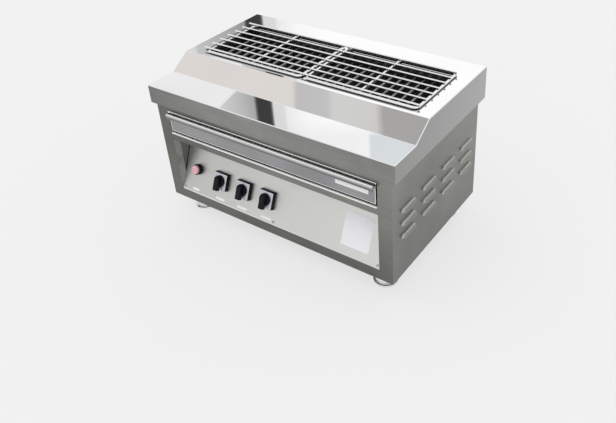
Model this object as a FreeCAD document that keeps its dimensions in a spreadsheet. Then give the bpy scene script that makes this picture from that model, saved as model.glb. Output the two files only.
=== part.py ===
# Electric under-fired wire grill with a drip drawer, three rotary switches and a pilot lamp.
# Millimetres. X runs across the front, Y runs to the back, Z is up.
# The origin is on the floor, in the middle of the footprint.
import FreeCAD, Part
import math
import os
import Sketcher

os.makedirs("parts", exist_ok=True)
doc = FreeCAD.newDocument("ElectricGrill")
sizes = doc.addObject("Spreadsheet::Sheet", "Sizes")
layout = doc.addObject("Spreadsheet::Sheet", "Layout")

# Driving dimensions
DRIVING = {
    # Folded top cover
    "cover_width": 760,
    "cover_depth": 454,
    "cover_sheet": 1.5,
    "cover_fold": 2,
    "skirt_height": 51,
    "shelf_depth": 92,
    "shelf_height": 351,
    "riser_run": 60,
    "riser_rise": 38,
    "side_overhang": 13,
    "front_overhang": 8,
    "rear_overhang": 12,
    "opening_side_margin": 46,
    "opening_front_margin": 180,
    "opening_rear_margin": 90,
    "opening_rim": 12,
    # Body sheets and their corner posts
    "sheet": 1.2,
    "seam": 0.3,
    "post_width": 38.5,
    "post_return": 20,
    "rear_flange": 25,
    "floor_flange": 20,
    # Pressed louvres in the side panels
    "louvre_length": 68,
    "louvre_reach": 9,
    "louvre_wall": 1,
    "louvre_slope": 8,
    "louvre_columns": 4,
    "louvre_rows": 3,
    "louvre_rear_inset": 60.4,
    "louvre_step_up": 37.5,
    "louvre_inset": 71.5,
    "louvre_height": 114.5,
    # Front rails
    "bottom_rail_height": 34,
    "bottom_rail_flange": 25,
    "panel_lap": 18,
    "mid_rail_foot": 195,
    "mid_rail_height": 23,
    "mid_rail_flange": 12,
    "header_foot": 281,
    "header_flange": 12,
    "rail_fold": 2.5,
    # Tilted control panel
    "panel_tilt": 25,
    "panel_sheet": 1.5,
    "panel_end_flange": 15,
    "screw_head": 7,
    "screw_head_height": 2.2,
    "screw_shank": 4,
    "screw_length": 9,
    "screw_hole": 4.6,
    "panel_screw_height": 5,
    "panel_screw_inset": 6,
    # Divider under the drawer
    "divider_height": 211,
    "divider_rear_gap": 16,
    "divider_flange": 12,
    # Drip drawer
    "drawer_gap": 3.5,
    "drawer_seam": 1,
    "drawer_front_height": 58,
    "drawer_foot_gap": 5,
    "drawer_flange": 10,
    "lip_reach": 14,
    "lip_drop": 10,
    "lip_fold": 4,
    "tray_gap": 2,
    "tray_depth": 395,
    "tray_height": 52,
    "tray_sheet": 1,
    "runner_ledge": 18,
    "runner_height": 40,
    "runner_front_gap": 22,
    # Fire box under the cut-out
    "fire_box_side_gap": 5,
    "fire_box_front_gap": 24,
    "fire_box_rear_gap": 10,
    "fire_box_height": 111.2,
    "fire_box_flange": 12,
    # Sheathed heater rods, bent in hairpins
    "rod_diameter": 8,
    "rod_side_gap": 30,
    "rod_drop": 28,
    "rod_clearance": 0.3,
    "rod_tail": 20,
    "bend_gap": 22,
    "rest_width": 16,
    "rest_height": 20,
    "rest_setback": 23,
    "link_height": 10,
    "link_sheet": 2,
    # Welded wire grates
    "grate_front_lap": 11.5,
    "grate_rear_lap": 16.5,
    "grate_left_inset": 14,
    "grate_right_lap": 5,
    "grate_gap": 9,
    "grate_rod": 7,
    "grate_corner": 12,
    "wire_diameter": 5,
    "wire_end_gap": 8.3,
    "wire_overhang": 15,
    "wire_gap": 1,
    "weld_sink": 0.4,
    "centre_bar_width": 12,
    "centre_bar_sheet": 3,
    # Rotary switches
    "switch_plate": 48,
    "switch_base_depth": 11,
    "face_plate_sheet": 1,
    "face_plate_margin": 2,
    "switch_height": 60,
    "switch_first": 190,
    "switch_pitch": 80.5,
    "switch_body": 44,
    "switch_body_depth": 50,
    "switch_shaft": 8,
    "switch_shaft_hole": 12,
    "shaft_clearance": 0.1,
    "knob_diameter": 35,
    "knob_collar": 6,
    "knob_grip_width": 15,
    "knob_grip_height": 11,
    "knob_grip_down": 22,
    "knob_grip_up": 14,
    "knob_gap": 0.4,
    # Pilot lamp
    "lamp_place": 98,
    "lamp_height": 66,
    "lamp_bezel": 30,
    "lamp_reach": 12,
    "lamp_neck": 22,
    "lamp_lens": 25,
    "lamp_lens_reach": 7,
    "lamp_body_depth": 34,
    # Feet
    "foot_height": 54,
    "foot_disc": 65,
    "foot_disc_height": 7,
    "foot_rim": 2,
    "foot_neck": 50,
    "foot_neck_height": 3,
    "foot_dome": 54,
    "foot_dome_height": 20,
    "foot_dome_top": 26,
    "foot_stud": 12,
    "foot_stud_rise": 16,
    "foot_inset_side": 56.7,
    "foot_inset_end": 57,
    "locknut_across": 19,
    "locknut_height": 7,
    "socket_across": 22,
    "socket_height": 12,
    "stud_clearance": 0.1,
    # Back panel, supply entry and wiring
    "back_top_gap": 6,
    "vent_length": 62,
    "vent_height": 5,
    "vent_rows": 7,
    "vent_step": 13,
    "vent_centre": 150,
    "vent_bottom": 150,
    "gland_inset": 137,
    "gland_height": 52,
    "gland_reach": 20,
    "gland_diameter": 27,
    "gland_neck": 20,
    "gland_bore": 11,
    "gland_flange": 4,
    "gland_inner": 14,
    "terminal_length": 90,
    "terminal_depth": 36,
    "terminal_height": 30,
    "terminal_ways": 5,
    "terminal_wall": 3,
    "terminal_setback": 70,
}
BANKS = ("left", "middle", "right")
HAIRPINS_IN_A_BANK = 4
ROD_COUNT = 2 * HAIRPINS_IN_A_BANK * len(BANKS)
WIRES_IN_A_GRATE = 7
BAR_SIDES = 8
BEND_STEP = 45

for row, (alias, number) in enumerate(DRIVING.items(), start=1):
    sizes.set("A%d" % row, alias.replace("_", " "))
    sizes.set("B%d" % row, str(number))
    sizes.setAlias("B%d" % row, alias)


# Lengths that carry their own sheet formula
class Length:
    def __init__(self, number, formula):
        self.number = number
        self.formula = formula

    def __add__(self, other):
        other = as_length(other)
        return Length(self.number + other.number, "(%s + %s)" % (self.formula, other.formula))

    def __sub__(self, other):
        other = as_length(other)
        return Length(self.number - other.number, "(%s - %s)" % (self.formula, other.formula))

    def __mul__(self, other):
        other = as_length(other)
        return Length(self.number * other.number, "(%s * %s)" % (self.formula, other.formula))

    def __truediv__(self, other):
        other = as_length(other)
        return Length(self.number / other.number, "(%s / %s)" % (self.formula, other.formula))

    def __neg__(self):
        return Length(-self.number, "(-1 * %s)" % self.formula)

    def __radd__(self, other):
        return as_length(other) + self

    def __rsub__(self, other):
        return as_length(other) - self

    def __rmul__(self, other):
        return as_length(other) * self


def as_length(value):
    if isinstance(value, Length):
        return value
    return Length(float(value), repr(float(value)))


def sine(angle):
    return Length(math.sin(math.radians(angle.number)), "sin(%s)" % angle.formula)


def cosine(angle):
    return Length(math.cos(math.radians(angle.number)), "cos(%s)" % angle.formula)


def root(value):
    return Length(math.sqrt(value.number), "sqrt(%s)" % value.formula)


class DrivingSizes:
    def __getattr__(self, alias):
        return Length(float(DRIVING[alias]), "Sizes." + alias)


# A worked-out place is a formula cell of the second sheet, so each is written once
class Places:
    def __init__(self):
        self.__dict__["found"] = {}

    def __setattr__(self, alias, value):
        row = len(self.found) + 1
        layout.set("A%d" % row, alias.replace("_", " "))
        layout.set("B%d" % row, "=" + value.formula)
        layout.setAlias("B%d" % row, alias)
        self.found[alias] = Length(value.number, "Layout." + alias)

    def __getattr__(self, alias):
        return self.found[alias]


size = DrivingSizes()
at = Places()

# Places along Y: the drawer lip stands furthest forward, the gland furthest back
at.body_depth = size.cover_depth - size.front_overhang - size.rear_overhang
at.body_front = -(size.lip_reach + at.body_depth + size.gland_reach) / 2 + size.lip_reach
at.body_back = at.body_front + at.body_depth
at.cover_front = at.body_front - size.front_overhang
at.cover_back = at.cover_front + size.cover_depth
at.riser_front = at.cover_front + size.shelf_depth
at.riser_back = at.riser_front + size.riser_run
at.opening_front = at.cover_front + size.opening_front_margin
at.opening_back = at.cover_back - size.opening_rear_margin
at.box_front = at.opening_front - size.fire_box_front_gap
at.box_back = at.opening_back + size.fire_box_rear_gap
at.rod_end = at.box_back + size.rod_tail
at.grate_front_bar = at.opening_front - size.grate_front_lap + size.grate_rod / 2
at.grate_back_bar = at.opening_back + size.grate_rear_lap - size.grate_rod / 2
at.inside_back = at.body_back - size.sheet - size.seam
at.louvre_run = at.body_depth - size.louvre_inset - size.louvre_rear_inset

# Places along Z
at.floor = 1 * size.foot_height
at.skirt_foot = at.floor + size.shelf_height - size.skirt_height
at.shelf = at.floor + size.shelf_height
at.top = at.shelf + size.riser_rise
at.under_top = at.top - size.cover_sheet
at.under_shelf = at.shelf - size.cover_sheet
at.divider = at.floor + size.divider_height
at.tray_foot = at.floor + size.mid_rail_foot + size.mid_rail_height + size.drawer_seam
at.rods = at.top - size.rod_drop
at.gland = at.floor + size.gland_height

# Places along X, all to the right of the middle
at.cover_side = size.cover_width / 2
at.body_side = at.cover_side - size.side_overhang
at.post_inner = at.body_side - size.post_width
at.web_inner = at.body_side - size.sheet
at.gland_across = at.body_side - size.gland_inset
at.opening_side = at.cover_side - size.opening_side_margin
at.box_side = at.opening_side + size.fire_box_side_gap
at.rod_step = 2 * (at.box_side - size.rod_side_gap) / (ROD_COUNT - 1)
at.grate_start = size.grate_left_inset - at.opening_side
at.grate_width = (at.opening_side + size.grate_right_lap - at.grate_start - size.grate_gap) / 2
at.wire_step = (at.grate_back_bar - at.grate_front_bar - 2 * size.wire_end_gap) / (WIRES_IN_A_GRATE - 1)

# The riser's slope shifts the inner corners of the fold back by this much
slope = root(size.riser_run * size.riser_run + size.riser_rise * size.riser_rise)
at.fold_shift = size.cover_sheet * (slope - size.riser_run) / size.riser_rise

# The control panel's foot, and how far it reaches at the divider
at.panel_foot = at.floor + size.bottom_rail_height
at.tilt_sine = sine(size.panel_tilt)
at.tilt_cosine = cosine(size.panel_tilt)
at.panel_length = (at.divider - size.seam - at.panel_foot) / at.tilt_cosine


# Helpers for document objects
def bind(thing, prop, value):
    thing.setExpression(prop, as_length(value).formula)


def put(thing, x=0, y=0, z=0):
    bind(thing, "Placement.Base.x", x)
    bind(thing, "Placement.Base.y", y)
    bind(thing, "Placement.Base.z", z)
    return thing


def block(name, x, y, z):
    # A plain block between two places along each axis
    box = doc.addObject("Part::Box", name)
    bind(box, "Length", as_length(x[1]) - x[0])
    bind(box, "Width", as_length(y[1]) - y[0])
    bind(box, "Height", as_length(z[1]) - z[0])
    return put(box, x[0], y[0], z[0])


TURNS = {
    "x": FreeCAD.Rotation(FreeCAD.Vector(0, 1, 0), 90),
    "y": FreeCAD.Rotation(FreeCAD.Vector(1, 0, 0), -90),
    "z": FreeCAD.Rotation(),
    "back": FreeCAD.Rotation(FreeCAD.Vector(1, 0, 0), 90),
}


def rod(name, start, length, diameter, along="z"):
    # A round bar that starts at a place and runs in the positive direction of an axis
    bar = doc.addObject("Part::Cylinder", name)
    bind(bar, "Radius", as_length(diameter) / 2)
    bind(bar, "Height", length)
    bar.Placement = FreeCAD.Placement(FreeCAD.Vector(), TURNS[along])
    return put(bar, *start)


def bar(name, start, length, diameter, along="z"):
    # As a rod, with a many-sided section, for what repeats many times
    piece = doc.addObject("Part::Prism", name)
    piece.Polygon = BAR_SIDES
    bind(piece, "Circumradius", as_length(diameter) / 2)
    bind(piece, "Height", length)
    piece.Placement = FreeCAD.Placement(FreeCAD.Vector(), TURNS[along])
    return put(piece, *start)


def bend(name, centre, radius, diameter, start_angle, sweep):
    # A bar bent round a vertical axis: straight-sided spans through sections at even angles
    spans = int(round(sweep / BEND_STEP))
    rings = []
    for number in range(spans + 1):
        angle = start_angle + sweep * number / spans
        ring = doc.addObject("Part::RegularPolygon", "%s_ring_%d" % (name, number))
        ring.Polygon = BAR_SIDES
        bind(ring, "Circumradius", as_length(diameter) / 2)
        turn = FreeCAD.Rotation(FreeCAD.Vector(0, 0, 1), angle)
        ring.Placement = FreeCAD.Placement(FreeCAD.Vector(), turn.multiply(TURNS["back"]))
        across = math.cos(math.radians(angle))
        along = math.sin(math.radians(angle))
        rings.append(put(ring, centre[0] + radius * across, centre[1] + radius * along, centre[2]))
    loft = doc.addObject("Part::Loft", name)
    loft.Sections = rings
    loft.Solid = True
    loft.Ruled = True
    return loft


def joined(name, pieces):
    whole = doc.addObject("Part::MultiFuse", name)
    whole.Shapes = pieces
    return whole


def group(name, pieces):
    # Separate solids that share one sub-part
    whole = doc.addObject("Part::Compound", name)
    whole.Links = pieces
    return whole


def cut_out(name, base, tools):
    rest = doc.addObject("Part::Cut", name)
    rest.Base = base
    rest.Tool = tools[0] if len(tools) == 1 else joined(name + "_tools", tools)
    return rest


def mirrored(name, source):
    other = doc.addObject("Part::Mirroring", name)
    other.Source = source
    other.Normal = FreeCAD.Vector(1, 0, 0)
    return other


def new_body(name):
    return doc.addObject("PartDesign::Body", name)


def sketch_on(body, name, plane, offset=0):
    sketch = body.newObject("Sketcher::SketchObject", name)
    support = [face for face in body.Origin.OriginFeatures if face.Role == plane]
    sketch.AttachmentSupport = [(support[0], "")]
    sketch.MapMode = "FlatFace"
    bind(sketch, "AttachmentOffset.Base.z", offset)
    return sketch


def fix(sketch, index, point, x=None, y=None):
    # Hold one point of a sketch at its place from the sketch's origin
    for kind, value in (("DistanceX", x), ("DistanceY", y)):
        if value is not None:
            value = as_length(value)
            held = sketch.addConstraint(Sketcher.Constraint(kind, -1, 1, index, point, value.number))
            sketch.setExpression("Constraints[%d]" % held, value.formula)


def trace(sketch, path):
    # A closed outline. A step is (x, y) for a straight run to that point,
    # or (x, y, centre x, centre y, turn) for an arc, with turn 1 against the clock and -1 with it.
    ends = []
    spots = [(as_length(step[0]), as_length(step[1])) for step in path]
    for number, step in enumerate(path):
        before = spots[number - 1]
        here = spots[number]
        start = FreeCAD.Vector(before[0].number, before[1].number, 0)
        finish = FreeCAD.Vector(here[0].number, here[1].number, 0)
        if len(step) == 2:
            index = sketch.addGeometry(Part.LineSegment(start, finish), False)
            ends.append((index, 1, 2))
            continue
        centre = FreeCAD.Vector(as_length(step[2]).number, as_length(step[3]).number, 0)
        first, last = (start, finish) if step[4] > 0 else (finish, start)
        circle = Part.Circle(centre, FreeCAD.Vector(0, 0, 1), (start - centre).Length)
        low = math.atan2(first.y - centre.y, first.x - centre.x)
        high = math.atan2(last.y - centre.y, last.x - centre.x)
        if high <= low:
            high = high + 2 * math.pi
        index = sketch.addGeometry(Part.ArcOfCircle(circle, low, high), False)
        ends.append((index, 1, 2) if step[4] > 0 else (index, 2, 1))
        if abs(start.y - finish.y) < 1e-6:
            fix(sketch, index, 3, y=step[3])
        else:
            fix(sketch, index, 3, x=step[2])
    for number, (index, start, finish) in enumerate(ends):
        follower = ends[(number + 1) % len(ends)]
        sketch.addConstraint(Sketcher.Constraint("Coincident", index, finish, follower[0], follower[1]))
        fix(sketch, index, finish, *spots[number])
    return sketch


def pad(body, name, sketch, length):
    feature = body.newObject("PartDesign::Pad", name)
    feature.Profile = sketch
    bind(feature, "Length", length)
    return feature


def prism(name, path, x):
    # A profile in the YZ plane, run along X between two places
    body = new_body(name)
    sketch = trace(sketch_on(body, name + "_profile", "YZ_Plane", x[0]), path)
    pad(body, name + "_run", sketch, as_length(x[1]) - x[0])
    return body


def turned(name, path):
    # A profile in the XZ plane, turned once round Z
    body = new_body(name)
    sketch = trace(sketch_on(body, name + "_profile", "XZ_Plane"), path)
    feature = body.newObject("PartDesign::Revolution", name + "_turn")
    feature.Profile = sketch
    feature.ReferenceAxis = (sketch, ["V_Axis"])
    feature.Angle = 360
    return body


def soften(body, name, radius, wanted):
    # Round the edges of a body's last feature that a test picks
    doc.recompute()
    last = body.Tip
    edges = ["Edge%d" % (n + 1) for n, edge in enumerate(last.Shape.Edges) if wanted(edge)]
    feature = body.newObject("PartDesign::Fillet", name)
    feature.Base = (last, edges)
    bind(feature, "Radius", radius)
    return body


def on_panel(thing):
    # Panel frame: X across, Y into the panel from its face, Z up its face from its foot
    thing.Placement = FreeCAD.Placement(FreeCAD.Vector(), FreeCAD.Rotation(FreeCAD.Vector(-1, 0, 0), 1))
    bind(thing, "Placement.Rotation.Angle", size.panel_tilt)
    return put(thing, 0, at.body_front, at.panel_foot)


subparts = []


def finished(thing, label):
    thing.Label = label
    subparts.append(thing)
    return thing


# Outline of the folded top, seen from the side: shelf, riser and flat top
def cover_outline(front, back, foot, drop, shift):
    return [
        (front, foot),
        (back, foot),
        (back, at.top - drop),
        (at.riser_back + shift, at.top - drop),
        (at.riser_front + shift, at.shelf - drop),
        (front, at.shelf - drop),
    ]


# Top cover: one folded sheet with a skirt all round and a rimmed cut-out
def make_top_cover():
    outside = prism("cover_outside", cover_outline(at.cover_front, at.cover_back, at.skirt_foot, 0, 0),
                    (-at.cover_side, at.cover_side))
    soften(outside, "cover_folds", size.cover_fold, above_skirt_foot)
    sheet = size.cover_sheet
    inside = prism("cover_inside",
                   cover_outline(at.cover_front + sheet, at.cover_back - sheet, at.skirt_foot - sheet,
                                 sheet, at.fold_shift),
                   (-at.cover_side + sheet, at.cover_side - sheet))
    shell = cut_out("cover_shell", outside, [inside])
    half = at.opening_side
    rim = block("opening_rim", (-half - sheet, half + sheet),
                (at.opening_front - sheet, at.opening_back + sheet),
                (at.under_top - size.opening_rim, at.under_top + size.cover_sheet / 2))
    opening = block("opening", (-half, half), (at.opening_front, at.opening_back),
                    (at.under_top - size.opening_rim - sheet, at.top + sheet))
    finished(cut_out("cover", joined("cover_with_rim", [shell, rim]), [opening]), "top_cover")


def above_skirt_foot(edge):
    # Every fold of the cover, but not the open edge round its skirt
    return edge.BoundBox.ZMax > at.skirt_foot.number + 1


# Side panel: a channel with a front post flange, a rear flange, a floor flange and pressed louvres
def make_side_panels():
    web = at.body_side
    sheet = size.sheet
    back = at.body_back
    body = new_body("side_sheet")
    plan = trace(sketch_on(body, "side_plan", "XY_Plane", at.floor), [
        (web, at.body_front),
        (web, back),
        (web - size.rear_flange, back),
        (web - size.rear_flange, back - sheet),
        (web - sheet, back - sheet),
        (web - sheet, at.body_front + sheet),
        (at.post_inner + sheet, at.body_front + sheet),
        (at.post_inner + sheet, at.body_front + size.post_return),
        (at.post_inner, at.body_front + size.post_return),
        (at.post_inner, at.body_front),
    ])
    pad(body, "side_height", plan, at.top - at.floor)
    ledge = trace(sketch_on(body, "floor_flange_plan", "XY_Plane", at.floor), [
        (web - sheet / 2, at.body_front + sheet),
        (web - sheet / 2, back - sheet),
        (web - size.floor_flange, back - sheet),
        (web - size.floor_flange, at.body_front + size.post_return + sheet),
        (web - size.floor_flange, at.body_front + sheet),
    ])
    pad(body, "floor_flange", ledge, sheet)
    add_louvres(body)
    above = prism("above_side", [
        (at.body_front - sheet, at.under_shelf - size.seam),
        (at.riser_front + at.fold_shift, at.under_shelf - size.seam),
        (at.riser_back + at.fold_shift, at.under_top - size.seam),
        (back + sheet, at.under_top - size.seam),
        (back + sheet, at.top + sheet),
        (at.body_front - sheet, at.top + sheet),
    ], (at.post_inner - sheet, web + size.louvre_reach))
    right = finished(cut_out("side_right", body, [above]), "side_panel_right")
    finished(mirrored("side_left", right), "side_panel_left")


def add_louvres(body):
    # One hood is a band turned a quarter way round its slot line, and its slot is pressed through
    half = size.louvre_length / 2
    reach = size.louvre_reach
    wall = size.louvre_wall
    outer = half - size.louvre_slope
    band = sketch_on(body, "louvre_band", "YZ_Plane", at.body_side)
    slot = sketch_on(body, "louvre_slot", "YZ_Plane", at.body_side)
    for sketch in (band, slot):
        bind(sketch, "AttachmentOffset.Base.x", at.body_front + size.louvre_inset)
        bind(sketch, "AttachmentOffset.Base.y", at.floor + size.louvre_height)
    trace(band, [
        (half, 0),
        (outer, reach),
        (-outer, reach),
        (-half, 0),
        (-half + wall, 0),
        (-outer, reach - wall),
        (outer, reach - wall),
        (half - wall, 0),
    ])
    trace(slot, [
        (half - wall, 0),
        (outer, reach - wall),
        (-outer, reach - wall),
        (-half + wall, 0),
    ])
    hood = body.newObject("PartDesign::Revolution", "louvre_hood")
    hood.Profile = band
    hood.ReferenceAxis = (band, ["H_Axis"])
    hood.Angle = 90
    hole = body.newObject("PartDesign::Pocket", "louvre_hole")
    hole.Profile = slot
    bind(hole, "Length", 2 * size.sheet)
    doc.recompute()
    rows = body.newObject("PartDesign::MultiTransform", "louvre_field")
    rows.Originals = [hood, hole]
    rise = size.louvre_step_up * (size.louvre_rows - 1)
    back = louvre_pattern(body, "louvres_back", (slot, ["H_Axis"]), at.louvre_run, size.louvre_columns)
    up = louvre_pattern(body, "louvres_up", (slot, ["V_Axis"]), rise, size.louvre_rows)
    rows.Transformations = [back, up]
    body.Tip = rows


def louvre_pattern(body, name, direction, run, copies):
    pattern = body.newObject("PartDesign::LinearPattern", name)
    pattern.Direction = direction
    bind(pattern, "Length", run)
    bind(pattern, "Occurrences", copies)
    return pattern


# Rails between the posts
def rail_span():
    return (-at.post_inner + size.seam, at.post_inner - size.seam)


def make_bottom_rail():
    # The top flange leans back behind the control panel, whose lower edge is screwed to it
    sheet = size.sheet
    front = at.body_front
    behind = size.panel_sheet + size.seam / 2
    neck = at.panel_foot - behind / at.tilt_sine
    lean = (1 - at.tilt_cosine) / at.tilt_sine
    tip_y = front + size.panel_lap * at.tilt_sine
    tip_z = neck + size.panel_lap * at.tilt_cosine
    rail = prism("bottom_rail_sheet", [
        (front, at.floor),
        (front + size.bottom_rail_flange, at.floor),
        (front + size.bottom_rail_flange, at.floor + sheet),
        (front + sheet, at.floor + sheet),
        (front + sheet, neck - sheet * lean),
        (tip_y + sheet * at.tilt_cosine, tip_z - sheet * at.tilt_sine),
        (tip_y, tip_z),
        (front, neck),
    ], rail_span())
    holes = [panel_tool("rail_screw_hole_%d" % n, place) for n, place in enumerate(panel_screw_places())]
    finished(cut_out("bottom_rail_drilled", rail, holes), "bottom_rail")


def panel_screw_places():
    edge = at.post_inner - size.seam - size.panel_screw_inset
    return (-edge, as_length(0), edge)


def panel_tool(name, place):
    # A clearance hole for one panel screw, square to the panel
    drill = rod(name + "_drill", (place, -size.panel_sheet, size.panel_screw_height),
                size.screw_length * 2, size.screw_hole, "y")
    return on_panel(group(name, [drill]))


def make_mid_rail():
    sheet = size.sheet
    front = at.body_front
    low = at.floor + size.mid_rail_foot
    high = low + size.mid_rail_height
    fold = size.rail_fold
    rail = prism("mid_rail_sheet", [
        (front, low),
        (front + size.mid_rail_flange, low),
        (front + size.mid_rail_flange, low + sheet),
        (front + sheet, low + sheet),
        (front + sheet, high - fold),
        (front + fold, high - sheet, front + fold, high - fold, -1),
        (front + size.mid_rail_flange, high - sheet),
        (front + size.mid_rail_flange, high),
        (front + fold, high),
        (front, high - fold, front + fold, high - fold, 1),
    ], rail_span())
    finished(rail, "mid_rail")


def make_header_rail():
    sheet = size.sheet
    front = at.body_front
    low = at.floor + size.header_foot
    high = at.under_shelf - size.seam
    fold = size.rail_fold
    rail = prism("header_sheet", [
        (front + fold, low, front + fold, low + fold, 1),
        (front + size.header_flange, low),
        (front + size.header_flange, low + sheet),
        (front + fold, low + sheet),
        (front + sheet, low + fold, front + fold, low + fold, -1),
        (front + sheet, high - sheet),
        (front + size.header_flange, high - sheet),
        (front + size.header_flange, high),
        (front, high),
        (front, low + fold),
    ], rail_span())
    finished(rail, "header_rail")


# Control panel: a tilted sheet with end flanges turned back, drilled for what it carries
def make_control_panel():
    sheet = size.panel_sheet
    edge = at.post_inner - size.seam
    body = new_body("panel_sheet_body")
    plan = trace(sketch_on(body, "panel_plan", "XY_Plane"), [
        (-edge, 0),
        (edge, 0),
        (edge, size.panel_end_flange),
        (edge - sheet, size.panel_end_flange),
        (edge - sheet, sheet),
        (-edge + sheet, sheet),
        (-edge + sheet, size.panel_end_flange),
        (-edge, size.panel_end_flange),
    ])
    pad(body, "panel_height", plan, at.panel_length)
    notch_high = size.panel_lap + sheet
    tools = [
        block("left_notch", (-edge - sheet, -edge + sheet), (sheet, size.panel_end_flange + sheet),
              (-sheet, notch_high)),
        block("right_notch", (edge - sheet, edge + sheet), (sheet, size.panel_end_flange + sheet),
              (-sheet, notch_high)),
        rod("lamp_hole", (lamp_place(), -sheet, size.lamp_height), 3 * sheet,
            size.lamp_neck + 2 * size.shaft_clearance, "y"),
    ]
    for number in range(len(BANKS)):
        tools.append(bar("shaft_hole_%d" % number, (switch_place(number), -sheet, size.switch_height),
                         3 * sheet, size.switch_shaft_hole, "y"))
    for number, place in enumerate(panel_screw_places()):
        tools.append(bar("panel_hole_%d" % number, (place, -sheet, size.panel_screw_height),
                         3 * sheet, size.screw_hole, "y"))
    finished(on_panel(cut_out("panel_drilled", body, tools)), "control_panel")


def lamp_place():
    return -at.cover_side + size.lamp_place


def switch_place(number):
    return -at.cover_side + size.switch_first + size.switch_pitch * number


# Cheek plates close the ends of the recess, behind the post returns
def make_cheeks():
    sheet = size.sheet
    outer = at.post_inner + sheet + size.seam
    low = at.panel_foot - size.panel_lap
    high = at.divider - size.seam
    rise = (high - at.panel_foot) * at.tilt_sine / at.tilt_cosine
    behind = size.panel_end_flange
    front = at.body_front + sheet + size.seam
    plate = prism("cheek_plate", [
        (front, low),
        (front + behind, low),
        (at.body_front + rise + behind, high),
        (front, high),
    ], (outer, outer + sheet))
    right = finished(plate, "cheek_right")
    finished(mirrored("cheek_left_plate", right), "cheek_left")


# Floor, divider and back
def make_bottom_plate():
    side = at.web_inner - size.seam
    low = at.floor + size.sheet + size.seam / 2
    plate = block("floor_plate", (-side, side), (at.body_front + size.sheet + size.seam, at.inside_back),
                  (low, low + size.sheet))
    reach = size.post_return + size.seam
    gap = size.sheet + 2 * size.seam
    tools = []
    for number, sign in enumerate((-1, 1)):
        post = [sign * (at.post_inner - size.seam), sign * (at.post_inner + gap)]
        post.sort(key=lambda place: place.number)
        tools.append(block("floor_notch_%d" % number, post,
                           (at.body_front, at.body_front + reach), (at.floor, low + 2 * size.sheet)))
    for name, x, y in foot_places():
        tools.append(six_sided("stud_hole_" + name, (x, y, at.floor), 3 * size.sheet,
                               size.foot_stud + 2 * size.seam))
    finished(cut_out("floor_drilled", plate, tools), "bottom_plate")


def foot_places():
    x = at.body_side - size.foot_inset_side
    front = at.body_front + size.foot_inset_end
    back = at.body_back - size.foot_inset_end
    return (
        ("front_left", -x, front),
        ("front_right", x, front),
        ("rear_left", -x, back),
        ("rear_right", x, back),
    )


def make_divider():
    # Under the drawer: it keeps drips and heat off the switches, and ends short of the back for the wiring
    side = at.web_inner - size.seam
    mouth = at.post_inner - size.seam
    back = at.inside_back - size.divider_rear_gap
    turn = at.body_front + size.post_return + size.seam
    wide = block("divider_wide", (-side, side), (turn, back), (at.divider, at.divider + size.sheet))
    front = block("divider_front", (-mouth, mouth),
                  (at.body_front + size.sheet + size.seam, turn + size.sheet),
                  (at.divider, at.divider + size.sheet))
    edges = [wide, front]
    for number, sign in enumerate((-1, 1)):
        lip = [sign * (side - size.sheet), sign * side]
        lip.sort(key=lambda place: place.number)
        edges.append(block("divider_flange_%d" % number, lip, (turn, back),
                           (at.divider, at.divider + size.divider_flange)))
    finished(joined("divider", edges), "divider_plate")


def make_back_panel():
    side = at.web_inner - size.seam
    sheet = size.sheet
    low = at.floor + 3 * sheet
    plate = block("back_sheet", (-side, side), (at.inside_back - sheet, at.inside_back),
                  (low, at.under_top - size.back_top_gap))
    tools = [rod("gland_hole", (at.gland_across, at.inside_back - 2 * sheet, at.gland),
                 3 * sheet, size.gland_neck + 2 * size.shaft_clearance, "y")]
    for column, sign in enumerate((-1, 1)):
        middle = size.vent_centre * sign
        for number in range(int(size.vent_rows.number)):
            foot = at.floor + size.vent_bottom + size.vent_step * number
            tools.append(block("vent_%d_%d" % (column, number),
                               (middle - size.vent_length / 2, middle + size.vent_length / 2),
                               (at.inside_back - 2 * sheet, at.inside_back + sheet),
                               (foot, foot + size.vent_height)))
    finished(cut_out("back_cut", plate, tools), "back_panel")


# Cable gland: only the supply entry, with its bore open
def make_cable_gland():
    height = at.gland
    start = at.inside_back - size.sheet - size.gland_inner
    face = at.inside_back
    neck = rod("gland_neck", (at.gland_across, start, height), face - start + size.gland_flange,
               size.gland_neck, "y")
    flange = rod("gland_flange", (at.gland_across, face, height), size.gland_flange,
                 size.gland_diameter, "y")
    cap = rod("gland_cap", (at.gland_across, face + size.gland_flange - size.weld_sink, height),
              at.body_back + size.gland_reach - face - size.gland_flange + size.weld_sink,
              size.gland_neck + size.sheet, "y")
    bore = rod("gland_bore", (at.gland_across, start - size.sheet, height),
               at.body_back + size.gland_reach - start + 2 * size.sheet, size.gland_bore, "y")
    finished(cut_out("gland", joined("gland_solid", [neck, flange, cap]), [bore]), "cable_gland")


def make_terminal_block():
    low = at.floor + 2 * size.sheet + size.seam
    back = at.inside_back - size.sheet - size.terminal_setback
    start = at.gland_across - size.terminal_length / 2
    base = block("terminal_base", (start, start + size.terminal_length), (back - size.terminal_depth, back),
                 (low, low + size.terminal_height))
    ways = int(size.terminal_ways.number)
    pitch = size.terminal_length / size.terminal_ways
    tools = []
    for number in range(ways):
        left = start + pitch * number + size.terminal_wall
        tools.append(block("terminal_well_%d" % number, (left, left + pitch - 2 * size.terminal_wall),
                           (back - size.terminal_depth + size.terminal_wall, back - size.terminal_wall),
                           (low + size.terminal_height / 2, low + 2 * size.terminal_height)))
    finished(cut_out("terminals", base, tools), "terminal_block")


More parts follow.
